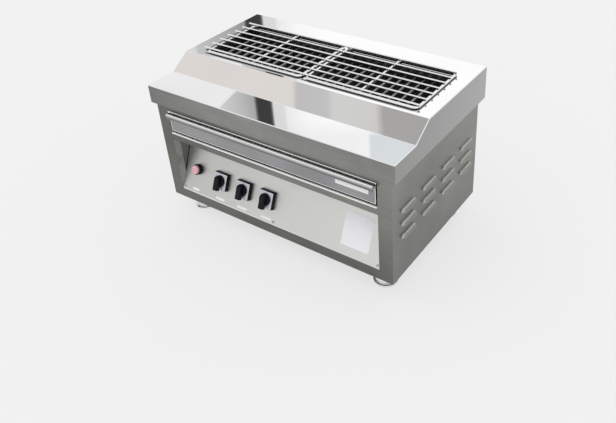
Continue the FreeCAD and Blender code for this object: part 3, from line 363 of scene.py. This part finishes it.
# %% [markdown]
# The other finishes: bright wire with painted shade on its underside, the scale of the heater sheaths,
# turned chrome, satin face plates, moulded black and grey plastic, a rose lens and plain white label
# stock. Each has its own fine noise, because nothing on a used grill is one even tone.
# %% Small-part finishes
def speckled(name, dark, light, metallic, rough_low, rough_high, size, bump=0.0):
    material, shader = finish_named(name, light, metallic, rough_high)
    grains = object_noise(material, (size, size, size), 3.0)
    wire_up(material, tint(material, grains, dark, light), shader, "Base Color")
    wire_up(material, spread(material, grains, rough_low, rough_high), shader, "Roughness")
    if bump:
        bump_up(material, shader, grains, bump, 0.0002)
    return material, shader


wire_steel, wire_shader = speckled("wire_steel", (0.92, 0.92, 0.93), WHITE, 1.0, 0.10, 0.16, 160)
# Painted shade: the wire's downward faces are near black.
painted_underside_shade = falling(wire_steel, facing(wire_steel, "Z"), -0.4, 0.05)
base = blended(wire_steel, painted_underside_shade, colour_so_far(wire_shader), (0.05, 0.05, 0.055))
wire_up(wire_steel, base, wire_shader, "Base Color")
heater_sheath = speckled("heater_sheath", (0.24, 0.24, 0.245), (0.42, 0.42, 0.42), 1.0, 0.24, 0.38, 90, 0.1)[0]
foot_chrome = speckled("foot_chrome", (0.70, 0.70, 0.70), (0.92, 0.92, 0.92), 1.0, 0.06, 0.14, 60)[0]
screw_steel = speckled("screw_steel", (0.4, 0.4, 0.4), (0.62, 0.62, 0.62), 1.0, 0.2, 0.35, 300, 0.2)[0]
face_plate = speckled("face_plate", (0.55, 0.57, 0.62), (0.68, 0.70, 0.74), 0.6, 0.32, 0.42, 400, 0.1)[0]
black_plastic, black_shader = speckled("black_plastic", (0.003, 0.003, 0.005), (0.009, 0.009, 0.013),
                                       0.0, 0.4, 0.55, 900, 0.2)
black_shader.inputs["Specular IOR Level"].default_value = 0.18
grey_plastic = speckled("grey_plastic", (0.22, 0.22, 0.23), (0.30, 0.30, 0.31), 0.0, 0.4, 0.55, 700, 0.2)[0]
label_stock = speckled("label_stock", (0.86, 0.86, 0.9), (0.94, 0.94, 0.96), 0.0, 0.35, 0.5, 220)[0]
mark_ink = speckled("mark_ink", (0.02, 0.02, 0.025), (0.05, 0.05, 0.055), 0.0, 0.4, 0.6, 500)[0]
print("small finishes made")

# %% Lens finish
lamp_red, lens_shader = speckled("lamp_red", (0.70, 0.34, 0.40), (0.86, 0.56, 0.60), 0.0, 0.12, 0.22, 120)
lens_shader.inputs["Subsurface Weight"].default_value = 0.3
lens_shader.inputs["Subsurface Radius"].default_value = (0.004, 0.002, 0.002)
lens_shader.inputs["Coat Weight"].default_value = 0.5
print("lens made")

# %% [markdown]
# Each solid that came from the frame now gets its finish, found by the beginning of its name. What the
# table leaves out is body steel. Only the material slots are touched.
# %% Dress the frame's own solids
FINISHES = (
    ("top_cover", cover_steel), ("control_panel", panel_steel), ("drawer_front", drawer_steel),
    ("drawer_tray", inner_steel), ("tray_wall", inner_steel), ("drawer_runner", inner_steel),
    ("fire_box", inner_steel), ("heater_rest", inner_steel), ("heater_links", inner_steel),
    ("divider_plate", inner_steel), ("grate_centre_bar", inner_steel), ("grate_", wire_steel),
    ("heater_bank", heater_sheath), ("foot_", foot_chrome), ("switch_base", black_plastic),
    ("switch_knob", black_plastic), ("switch_body", grey_plastic), ("switch_face", face_plate),
    ("terminal_block", grey_plastic), ("cable_gland", black_plastic), ("lamp_lens", lamp_red),
    ("lamp_housing", black_plastic), ("panel_screws", screw_steel),
)
for name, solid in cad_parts.items():
    material = next((finish for start, finish in FINISHES if name.startswith(start)), body_steel)
    if not solid.material_slots:
        solid.data.materials.append(material)
    for slot in solid.material_slots:
        slot.material = material
print("dressed", len(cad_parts), "solids")

# %% [markdown]
# New pieces are modelled by hand moves: add a primitive, shape it, then settle it. Settling gives the
# piece its name, fixes its place into its mesh, and ties it to the body it moves with.
# %% Modelling helpers
def start_clean():
    if bpy.context.object and bpy.context.object.mode != "OBJECT":
        bpy.ops.object.mode_set(mode="OBJECT")
    bpy.ops.object.select_all(action="DESELECT")


def pick(*pieces):
    start_clean()
    for piece in pieces:
        piece.select_set(True)
    bpy.context.view_layer.objects.active = pieces[0]


def pick_parts(piece, kind, wanted):
    pick(piece)
    bpy.ops.object.mode_set(mode="EDIT")
    bpy.ops.mesh.select_mode(type=kind)
    bpy.ops.mesh.select_all(action="DESELECT")
    bpy.ops.object.mode_set(mode="OBJECT")
    for part in piece.data.polygons if kind == "FACE" else piece.data.vertices:
        part.select = wanted(part)
    bpy.ops.object.mode_set(mode="EDIT")


def looks_forward(face):
    return face.normal.y < -0.9


def apply_place(piece):
    pick(piece)
    bpy.ops.object.transform_apply(location=True, rotation=True, scale=True)


def block_piece(size, centre):
    start_clean()
    bpy.ops.mesh.primitive_cube_add(size=1, location=centre)
    made = bpy.context.object
    made.scale = size
    apply_place(made)
    return made


def round_edges(piece, width, segments, angle=30):
    pick(piece)
    edge = piece.modifiers.new("edge", "BEVEL")
    edge.width = width
    edge.segments = segments
    edge.limit_method = "ANGLE"
    edge.angle_limit = math.radians(angle)
    bpy.ops.object.modifier_apply(modifier="edge")


def one_piece(pieces):
    pick(*pieces)
    bpy.ops.object.join()
    return bpy.context.object


def settle(piece, name, body, material, slot, *replaced):
    apply_place(piece)
    bpy.ops.object.shade_smooth_by_angle(angle=math.radians(32))
    piece.name = name
    piece.data.name = name
    if material and not piece.data.materials:
        piece.data.materials.append(material)
    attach(piece, body)
    if replaced:
        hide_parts(*replaced)
    size = [round(d * 1000, 1) for d in piece.dimensions]
    print(name, "measures", size, "mm,", len(piece.data.polygons), "faces")


# %% [markdown]
# Each grate is a loop of 7 mm rod with rounded corners, a middle rod, and seven 5 mm wires welded
# across the top. The loop starts as a plane whose corners are rounded, and its outline then becomes
# a round rod. The wires pass the loop on its left side by an overhang.
# %% Grate rods and wires
ROD = 0.007
ROD_CORNER = 0.012
WIRE = 0.005
WIRES = 7
WIRE_INSET = 0.0083


def rod_from_line(thick, capped=False):
    bpy.ops.object.mode_set(mode="OBJECT")
    bpy.ops.object.convert(target="CURVE")
    line = bpy.context.object.data
    line.bevel_depth = thick / 2
    line.bevel_resolution = 3
    line.use_fill_caps = capped
    bpy.ops.object.convert(target="MESH")
    return bpy.context.object


def round_bar(start, end, thick):
    a, b = Vector(start), Vector(end)
    start_clean()
    bpy.ops.mesh.primitive_cylinder_add(vertices=16, radius=thick / 2, depth=(b - a).length,
                                        location=(a + b) / 2)
    made = bpy.context.object
    made.rotation_euler = (b - a).to_track_quat("Z", "Y").to_euler()
    round_edges(made, thick * 0.12, 1)
    return made


def rod_loop(left, right, front, back, height):
    start_clean()
    bpy.ops.mesh.primitive_plane_add(size=1, location=((left + right) / 2, (front + back) / 2, height))
    made = bpy.context.object
    made.scale = (right - left, back - front, 1)
    apply_place(made)
    bpy.ops.object.mode_set(mode="EDIT")
    bpy.ops.mesh.select_all(action="SELECT")
    bpy.ops.mesh.bevel(affect="VERTICES", offset=ROD_CORNER, segments=6)
    bpy.ops.mesh.select_all(action="SELECT")
    bpy.ops.mesh.delete(type="ONLY_FACE")
    return rod_from_line(ROD)


def make_grate(name, overhang, body):
    low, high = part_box(name)
    left = low.x + overhang + ROD / 2
    right = high.x - ROD / 2
    front = low.y + ROD / 2
    back = high.y - ROD / 2
    rod_z = low.z + ROD / 2
    wire_z = high.z - WIRE / 2
    parts = [rod_loop(left, right, front, back, rod_z)]
    middle = (left + right) / 2
    parts.append(round_bar((middle, front, rod_z), (middle, back, rod_z), ROD))
    step = (back - front - 2 * WIRE_INSET) / (WIRES - 1)
    for number in range(WIRES):
        y = front + WIRE_INSET + step * number
        parts.append(round_bar((low.x, y, wire_z), (high.x, y, wire_z), WIRE))
    settle(one_piece(parts), name + "_wire", body, wire_steel, "wire_steel", name)


make_grate("grate_left", 0.015, "grate_left_body")
make_grate("grate_right", 0.008, "grate_right_body")

# %% [markdown]
# The heaters are sheathed rods bent into hairpins. Half a circle makes the bend, its two ends are
# drawn back into long legs, and the line is then given its thickness. One hairpin is modelled, and
# the rest are copies with their own mesh.
# %% Heater hairpins
HEATER_ROD = 0.008
LEGS = 8
NEAR = 1e-5


def make_hairpins(bank):
    low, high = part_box("heater_bank_" + bank)
    step = (high.x - low.x - HEATER_ROD) / (LEGS - 1)
    bend_x = low.x + HEATER_ROD / 2 + step / 2
    bend_y = low.y + HEATER_ROD / 2 + step / 2
    start_clean()
    bpy.ops.mesh.primitive_circle_add(vertices=24, radius=step / 2,
                                      location=(bend_x, bend_y, (low.z + high.z) / 2))
    hairpin = bpy.context.object
    apply_place(hairpin)
    pick_parts(hairpin, "VERT", lambda point: point.co.y > bend_y + NEAR)
    bpy.ops.mesh.delete(type="VERT")
    pick_parts(hairpin, "VERT", lambda point: abs(point.co.y - bend_y) < NEAR)
    bpy.ops.mesh.extrude_region_move(TRANSFORM_OT_translate={"value": (0, high.y - bend_y, 0)})
    hairpin = rod_from_line(HEATER_ROD, capped=True)
    copies = [hairpin]
    for number in range(1, LEGS // 2):
        copy = hairpin.copy()
        copy.data = hairpin.data.copy()
        bpy.context.scene.collection.objects.link(copy)
        copy.location.x += 2 * step * number
        copies.append(copy)
    settle(one_piece(copies), "heater_" + bank + "_rods", "root", heater_sheath, "heater_sheath",
           "heater_bank_" + bank)


for bank in ("left", "middle", "right"):
    make_hairpins(bank)

# %% [markdown]
# The edges of the front are rolled: a hem under the header, one along the top of the middle rail, and
# thin ones round the drawer. Each is a block whose long edges are rounded until it is a bar.
# %% Rolled trims
TRIMS = (
    ("header_hem", (0.655, 0.0036, 0.0054), (0, -0.2213, 0.3361), 0.0017, "root"),
    ("rail_hem", (0.655, 0.0034, 0.0052), (0, -0.2212, 0.2699), 0.0016, "root"),
    ("drawer_foot_hem", (0.6485, 0.0016, 0.0018), (0, -0.2204, 0.2790), 0.0006, "drawer"),
    ("drawer_end_hem_left", (0.0018, 0.0016, 0.0440), (-0.3238, -0.2204, 0.3000), 0.0006, "drawer"),
    ("drawer_end_hem_right", (0.0018, 0.0016, 0.0440), (0.3238, -0.2204, 0.3000), 0.0006, "drawer"),
)
for name, size, centre, rounding, body in TRIMS:
    bar = block_piece(size, centre)
    round_edges(bar, rounding, 4)
    settle(bar, name, body, hem_highlight_steel, "polished_steel")

# %% [markdown]
# The drawer's lip ends in a bead: a cylinder laid along it, whose two ends are rounded.
# %% Drawer bead
BEAD_RADIUS = 0.0035
BEAD_LENGTH = 0.6500
BEAD_CENTRE = (0, -0.2303, 0.3311)
start_clean()
bpy.ops.mesh.primitive_cylinder_add(vertices=32, radius=BEAD_RADIUS, depth=BEAD_LENGTH,
                                    location=BEAD_CENTRE, rotation=(0, math.radians(90), 0))
bead = bpy.context.object
round_edges(bead, 0.0012, 3, 60)
settle(bead, "drawer_bead", "drawer", bead_steel, "polished_steel")

# %% [markdown]
# Turned parts, such as the feet, the lamp and the knob collars, grow ring by ring: a circle is
# extruded, moved and resized for every step of the profile, and both ends are closed. What sits on
# the control panel is then turned forward.
# %% A turned part from rings
def turned_part(rings, sides=48):
    radius, height = rings[0]
    start_clean()
    bpy.ops.mesh.primitive_circle_add(vertices=sides, radius=radius, fill_type="NGON",
                                      location=(0, 0, height))
    made = bpy.context.object
    apply_place(made)
    bpy.ops.object.mode_set(mode="EDIT")
    bpy.ops.mesh.select_mode(type="FACE")
    bpy.ops.mesh.select_all(action="SELECT")
    bpy.ops.mesh.flip_normals()
    bpy.ops.object.mode_set(mode="OBJECT")
    for next_radius, next_height in rings[1:]:
        bpy.ops.object.mode_set(mode="EDIT")
        bpy.ops.mesh.extrude_region_move(TRANSFORM_OT_translate={"value": (0, 0, next_height - height)})
        share = next_radius / radius
        bpy.ops.transform.resize(value=(share, share, 1), center_override=(0, 0, next_height))
        radius, height = next_radius, next_height
        bpy.ops.object.mode_set(mode="OBJECT")
    bpy.ops.object.mode_set(mode="EDIT")
    bpy.ops.mesh.select_all(action="SELECT")
    bpy.ops.mesh.normals_make_consistent(inside=False)
    bpy.ops.object.mode_set(mode="OBJECT")
    return made


def turned_forward(rings, sides=48):
    made = turned_part(rings, sides)
    made.rotation_euler = (math.radians(90), 0, 0)
    apply_place(made)
    return made


# %% [markdown]
# A foot has a flanged base with a bright rolled rim, a dark groove, a domed cap and the threaded stud
# that carries the grill.
# %% Feet
FOOT_RINGS = (
    (0.0290, 0.0), (0.0315, 0.0006), (0.0325, 0.0022), (0.0325, 0.0045), (0.0315, 0.0062),
    (0.0295, 0.0070), (0.0255, 0.0070), (0.0250, 0.0074), (0.0250, 0.0098), (0.0262, 0.0100),
    (0.0270, 0.0108), (0.0270, 0.0125), (0.0262, 0.0160), (0.0242, 0.0200), (0.0208, 0.0240),
    (0.0165, 0.0275), (0.0130, 0.0292), (0.0100, 0.0300), (0.0060, 0.0300), (0.0060, 0.0695),
    (0.0052, 0.0700),
)
for name, body in (("foot_front_left", "foot_fl"), ("foot_front_right", "foot_fr"),
                   ("foot_rear_left", "foot_rl"), ("foot_rear_right", "foot_rr")):
    low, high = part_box(name)
    foot = turned_part(FOOT_RINGS)
    foot.location = ((low.x + high.x) / 2, (low.y + high.y) / 2, low.z)
    settle(foot, name + "_turned", body, foot_chrome, "foot_chrome", name)

# %% [markdown]
# The control panel leans back, so everything on it is modelled upright at the panel's own origin and
# then carried over by one matrix. Across is X, into the panel is Y, and up the panel is Z.
# %% The panel's own axes
PANEL = Matrix.Translation((0, -0.220, 0.088)) @ Matrix.Rotation(math.radians(-25), 4, "X")
FIRST_SWITCH = -0.190
SWITCH_STEP = 0.0805
SWITCH_UP = 0.060


def onto_panel(piece, across, up):
    apply_place(piece)
    piece.matrix_world = PANEL @ Matrix.Translation((across, 0, up)) @ piece.matrix_world
    return piece


SWITCHES = [(FIRST_SWITCH + SWITCH_STEP * number, SWITCH_UP) for number in range(3)]
print("switches stand at", SWITCHES)

# %% [markdown]
# A rotary switch shows a square black base with a silver face plate set on it. The base tapers a
# little towards the front, as moulded parts do so that they leave their mould.
# %% Switch bases
BASE_SIDE = 0.048
BASE_DEEP = 0.011
BASE_TAPER = 0.965
BASE_RIM = 0.0016
BASE_SUNK = 0.0008
for number, (across, up) in enumerate(SWITCHES, start=1):
    base = block_piece((BASE_SIDE, BASE_DEEP, BASE_SIDE), (0, -BASE_DEEP / 2, 0))
    pick_parts(base, "FACE", looks_forward)
    bpy.ops.transform.resize(value=(BASE_TAPER, 1, BASE_TAPER), center_override=(0, -BASE_DEEP, 0))
    bpy.ops.mesh.inset(thickness=BASE_RIM)
    bpy.ops.transform.translate(value=(0, BASE_SUNK, 0))
    round_edges(base, 0.0009, 3)
    settle(onto_panel(base, across, up), "switch_%d_base" % number, "root", black_plastic, "black_plastic",
           "switch_base_%d" % number)

# %% [markdown]
# The face plate is thin satin metal with generic printed positions: a ring of ticks and the numbers
# 0 to 3. Numbers are made as text, turned into a mesh and laid a hair above the plate.
# %% Face plates with ticks and numbers
PLATE_SIDE = 0.044
NUMBERS = ((180, "0"), (90, "1"), (0, "2"), (-90, "3"))
NUMBER_RING = 0.0192
NUMBER_Y = -0.01215
TICKS = (45, 135, 225, 315)
TICK_RING = 0.0212
TICK_Y = -0.01208


def plate_number(word, turn):
    start_clean()
    bpy.ops.object.text_add()
    mark = bpy.context.object
    mark.data.body = word
    mark.data.size = 0.0052
    mark.data.align_x = "CENTER"
    mark.data.align_y = "CENTER"
    mark.data.extrude = 0.00005
    bpy.ops.object.convert(target="MESH")
    mark = bpy.context.object
    mark.rotation_euler = (math.radians(90), 0, 0)
    mark.location = (NUMBER_RING * math.sin(turn), NUMBER_Y, NUMBER_RING * math.cos(turn))
    apply_place(mark)
    return mark


def plate_tick(turn):
    tick = block_piece((0.0006, 0.0001, 0.0022), (0, TICK_Y, TICK_RING))
    tick.rotation_euler = (0, turn, 0)
    apply_place(tick)
    return tick


for number, (across, up) in enumerate(SWITCHES, start=1):
    plate = block_piece((PLATE_SIDE, 0.001, PLATE_SIDE), (0, -0.0115, 0))
    round_edges(plate, 0.0003, 2)
    plate.data.materials.append(face_plate)
    marks = [plate_number(word, math.radians(turn)) for turn, word in NUMBERS]
    marks += [plate_tick(math.radians(turn)) for turn in TICKS]
    ink = one_piece(marks)
    ink.data.materials.clear()
    ink.data.materials.append(mark_ink)
    settle(onto_panel(one_piece([plate, ink]), across, up), "switch_%d_plate" % number, "root", face_plate,
           "face_plate", "switch_face_%d" % number)

# %% [markdown]
# The knob is a round collar with a finger grip across it, longer towards its pointing end. The grip
# starts as a block whose top is narrowed, and its edges are rounded for the fingers.
# %% Knobs
KNOB_RINGS = ((0.0166, 0.0124), (0.0169, 0.0128), (0.0169, 0.0170), (0.0162, 0.0182), (0.0145, 0.0184))
GRIP_SIZE = (0.0162, 0.0122, 0.0395)
GRIP_CENTRE = (0, -0.0233, -0.00575)
GRIP_NARROWS = (0.9, 1, 0.93)
GRIP_TOP = (0, -0.0294, -0.010)
for number, (across, up) in enumerate(SWITCHES, start=1):
    collar = turned_forward(KNOB_RINGS)
    grip = block_piece(GRIP_SIZE, GRIP_CENTRE)
    pick_parts(grip, "FACE", looks_forward)
    bpy.ops.transform.resize(value=GRIP_NARROWS, center_override=GRIP_TOP)
    round_edges(grip, 0.0014, 3)
    settle(onto_panel(one_piece([collar, grip]), across, up), "switch_%d_handle" % number,
           "knob_%d" % number, black_plastic, "black_plastic", "switch_knob_%d" % number)

# %% [markdown]
# The pilot lamp is a black bezel that holds a domed rose lens.
# %% Pilot lamp
LAMP = (-0.282, 0.066)
BEZEL_RINGS = ((0.0110, -0.034), (0.0110, 0.0), (0.0150, 0.0), (0.0150, 0.0105), (0.0145, 0.0118),
               (0.0136, 0.0120), (0.0128, 0.0118), (0.0127, 0.0060))
LENS_RINGS = ((0.0125, 0.0061), (0.0125, 0.0150), (0.0120, 0.0170), (0.0105, 0.0182), (0.0080, 0.0188),
              (0.0040, 0.0190), (0.0008, 0.0190))
bezel = turned_forward(BEZEL_RINGS)
settle(onto_panel(bezel, *LAMP), "lamp_bezel", "root", black_plastic, "black_plastic", "lamp_housing")
lens = turned_forward(LENS_RINGS)
settle(onto_panel(lens, *LAMP), "lamp_dome", "root", lamp_red, "lamp_red", "lamp_lens")

# %% [markdown]
# Three pan-head screws hold the lower edge of the panel. A head is a low turned dome, and a cross is
# cut into it.
# %% Panel screws
SCREWS_ACROSS = (-0.3222, 0.0, 0.3222)
SCREWS_UP = 0.005
HEAD_RINGS = ((0.0021, -0.0085), (0.0021, 0.0), (0.0035, 0.0), (0.0035, 0.0008), (0.0031, 0.0016),
              (0.0020, 0.0021), (0.0005, 0.0022))
CROSS_SLOTS = ((0.0008, 0.0022, 0.0036), (0.0036, 0.0022, 0.0008))
heads = []
for across in SCREWS_ACROSS:
    head = turned_forward(HEAD_RINGS, 24)
    for size in CROSS_SLOTS:
        cutter = block_piece(size, (0, -0.0022, 0))
        pick(head)
        cut = head.modifiers.new("cross", "BOOLEAN")
        cut.object = cutter
        cut.operation = "DIFFERENCE"
        bpy.ops.object.modifier_apply(modifier="cross")
        bpy.data.objects.remove(cutter)
    heads.append(onto_panel(head, across, SCREWS_UP))
settle(one_piece(heads), "panel_screw_heads", "root", screw_steel, "screw_steel", "panel_screws")

# %% [markdown]
# Small labels of bare stock sit below the lamp and the switches, a larger plain one at the right end
# of the panel, and a narrow one under the drawer's lip. They carry no words.
# %% Bare labels
COVER_HALF_MM = 380
LABEL_ENDS_MM = ((88, 112), (176, 208), (254, 288), (338, 372))
LABEL_THICK = 0.0002


def label_sheet(wide, high, centre):
    label = block_piece((wide, LABEL_THICK, high), centre)
    round_edges(label, 0.00008, 1)
    return label


def panel_label(name, left, right, low, high):
    label = label_sheet(right - left, high - low, (0, -LABEL_THICK / 2, 0))
    settle(onto_panel(label, (left + right) / 2, (low + high) / 2), name, "root", label_stock, "face_plate")


for number, ends in enumerate(LABEL_ENDS_MM):
    left, right = [(end - COVER_HALF_MM) / 1000 for end in ends]
    panel_label("panel_label_%d" % number, left, right, 0.0048, 0.0115)
panel_label("data_label", 0.210, 0.292, 0.022, 0.112)
strip = label_sheet(0.0910, 0.0115, (0.2595, -0.2201, 0.3035))
settle(strip, "drawer_label", "drawer", label_stock, "face_plate")

# %% [markdown]
# The studio is plain: a pale floor that runs far back, a pale sky and one wide soft sun. The floor
# shows the same pale tone to the eye and to the mirrors, and still keeps part of the grill's shadow.
# %% Floor
GLOW_COLOUR = (0.885, 0.885, 0.885, 1)
GLOW_SHARE = 0.78
start_clean()
bpy.ops.mesh.primitive_plane_add(size=60, location=(0, 0, 0))
floor = bpy.context.object
floor.name = "studio_floor"
floor_paint, floor_shader = finish_named("floor_paint", (0.87, 0.87, 0.87), 0.0, 0.9)
floor_shader.inputs["Specular IOR Level"].default_value = 0.0
glow = node(floor_paint, "ShaderNodeEmission", {"Color": GLOW_COLOUR, "Strength": 1.0})
rays = node(floor_paint, "ShaderNodeLightPath").outputs
seen = combine(floor_paint, "MAXIMUM", rays["Is Camera Ray"], rays["Is Glossy Ray"])
seen = combine(floor_paint, "MAXIMUM", seen, rays["Is Transmission Ray"])
share = combine(floor_paint, "MULTIPLY", seen, GLOW_SHARE)
both = node(floor_paint, "ShaderNodeMixShader", {0: share, 1: floor_shader.outputs[0], 2: glow.outputs[0]})
wire_up(floor_paint, both.outputs[0], floor_paint.node_tree.nodes["Material Output"], "Surface")
floor.data.materials.append(floor_paint)
print("floor laid")

# %% [markdown]
# A polished cover is only as good as the room it mirrors. The sky is plain, except for two parts that
# the cover shows: a far wall and a ceiling with broad soft fields. Both are drawn by direction alone:
# how far round a ray points, and how high, in degrees. The wall has a dark pillar, which takes a short
# step aside in one band of heights, pale panels to both sides of it, a light arch with a slanting edge,
# and two corners with tones of their own.
# %% Sky
DEGREES = 57.29578
PLAIN = (0.87, 0.87, 0.87)
ARCH_FOOT = (23.9, 24.3)
ARCH_LEAST, ARCH_EDGE, ARCH_MOST = 134.7, 136.0, 138.2
SLANT_START, SLANT = 27.3, 1.5
ASIDE = 1.3
ASIDE_TOP = (26.8, 27.3)
GAIN_LIFT = (30.0, 31.5)
FAR_CORNER_TURN = (133.9, 134.3)
FAR_CORNER_TOP = (23.6, 24.3)
NEAR_CORNER_END = (123.4, 123.7)
NEAR_CORNER_FOOT = (31.3, 31.6)
WALL_TONES = ((112.0, 0.96), (123.0, 0.98), (127.0, 0.95), (129.5, 0.91), (131.2, 0.82), (131.4, 0.70),
              (132.4, 0.68), (132.55, 0.045), (133.9, 0.045), (134.1, 0.38), (135.2, 0.47), (137.9, 0.64),
              (138.3, 0.65), (138.5, 0.84), (139.5, 0.85))
CEILING_TONES = (
    (44.0, (0.75, 0.70, 0.68)), (53.8, (0.74, 0.71, 0.68)), (54.2, (0.55, 0.54, 0.54)),
    (56.6, (0.56, 0.55, 0.55)), (57.2, (0.66, 0.66, 0.65)), (60.6, (0.64, 0.63, 0.61)),
    (61.2, (0.41, 0.40, 0.39)), (65.0, (0.40, 0.39, 0.38)))
WALL_PATCH = ((108, 112, 141, 146), (16, 19, 36, 40))
CEILING_PATCH = ((-176, -173, -158, -155), (41, 44, 65, 69))
world = bpy.data.worlds.new("studio_sky")
bpy.context.scene.world = world
world.use_nodes = True
ray = node(world, "ShaderNodeTexCoord").outputs["Generated"]
ray = node(world, "ShaderNodeSeparateXYZ", {"Vector": ray}).outputs
turn = product(world, combine(world, "ARCTAN2", ray["Y"], ray["X"]), DEGREES)
lift = product(world, combine(world, "ARCSINE", ray["Z"], 0), DEGREES)


def patch(turn_limits, lift_limits):
    masks = []
    for source, limits in ((turn, turn_limits), (lift, lift_limits)):
        masks += [rising(world, source, *limits[:2]), falling(world, source, *limits[2:])]
    return product(world, *masks)


aside = product(world, spread(world, lift, 0.0, ASIDE, *ARCH_FOOT), falling(world, lift, *ASIDE_TOP))
wall = tones(world, combine(world, "ADD", turn, aside), 108, 148, WALL_TONES)
wall = shaded(world, wall, spread(world, lift, 1.07, 0.96, *GAIN_LIFT))
far_corner = product(world, spread(world, turn, 0.0, 0.24, *FAR_CORNER_TURN),
                     falling(world, lift, *FAR_CORNER_TOP))
wall = blended(world, far_corner, wall, (0.1, 0.1, 0.1))
slant = product(world, combine(world, "SUBTRACT", lift, SLANT_START), SLANT)
edge = combine(world, "MAXIMUM", combine(world, "ADD", slant, ARCH_EDGE), ARCH_LEAST)
edge = combine(world, "MINIMUM", edge, ARCH_MOST)
arch = rising(world, combine(world, "SUBTRACT", turn, edge), -0.1, 0.1)
arch = product(world, arch, rising(world, lift, *ARCH_FOOT))
wall = blended(world, arch, wall, (0.86, 0.86, 0.87))
near_corner = product(world, falling(world, turn, *NEAR_CORNER_END), rising(world, lift, *NEAR_CORNER_FOOT))
wall = blended(world, near_corner, wall, (0.71, 0.745, 0.76))
ceiling = tones(world, lift, 40, 70, CEILING_TONES)
room = blended(world, patch(*WALL_PATCH), PLAIN, wall)
room = blended(world, patch(*CEILING_PATCH), room, ceiling)
sky = world.node_tree.nodes["Background"]
wire_up(world, room, sky, "Color")
sky.inputs["Strength"].default_value = 1.0
print("sky drawn with", len(world.node_tree.nodes), "nodes")

# %% Soft sun
SUN_POWER = 0.56
SUN_WIDTH = math.radians(70)
SUN_LEAN = (math.radians(12), math.radians(-14), 0)
sun_data = bpy.data.lights.new("soft_sun", "SUN")
sun_data.energy = SUN_POWER
sun_data.angle = SUN_WIDTH
soft_sun = bpy.data.objects.new("soft_sun", sun_data)
bpy.context.scene.collection.objects.link(soft_sun)
soft_sun.rotation_euler = SUN_LEAN
soft_sun.visible_glossy = False
print("sun set")
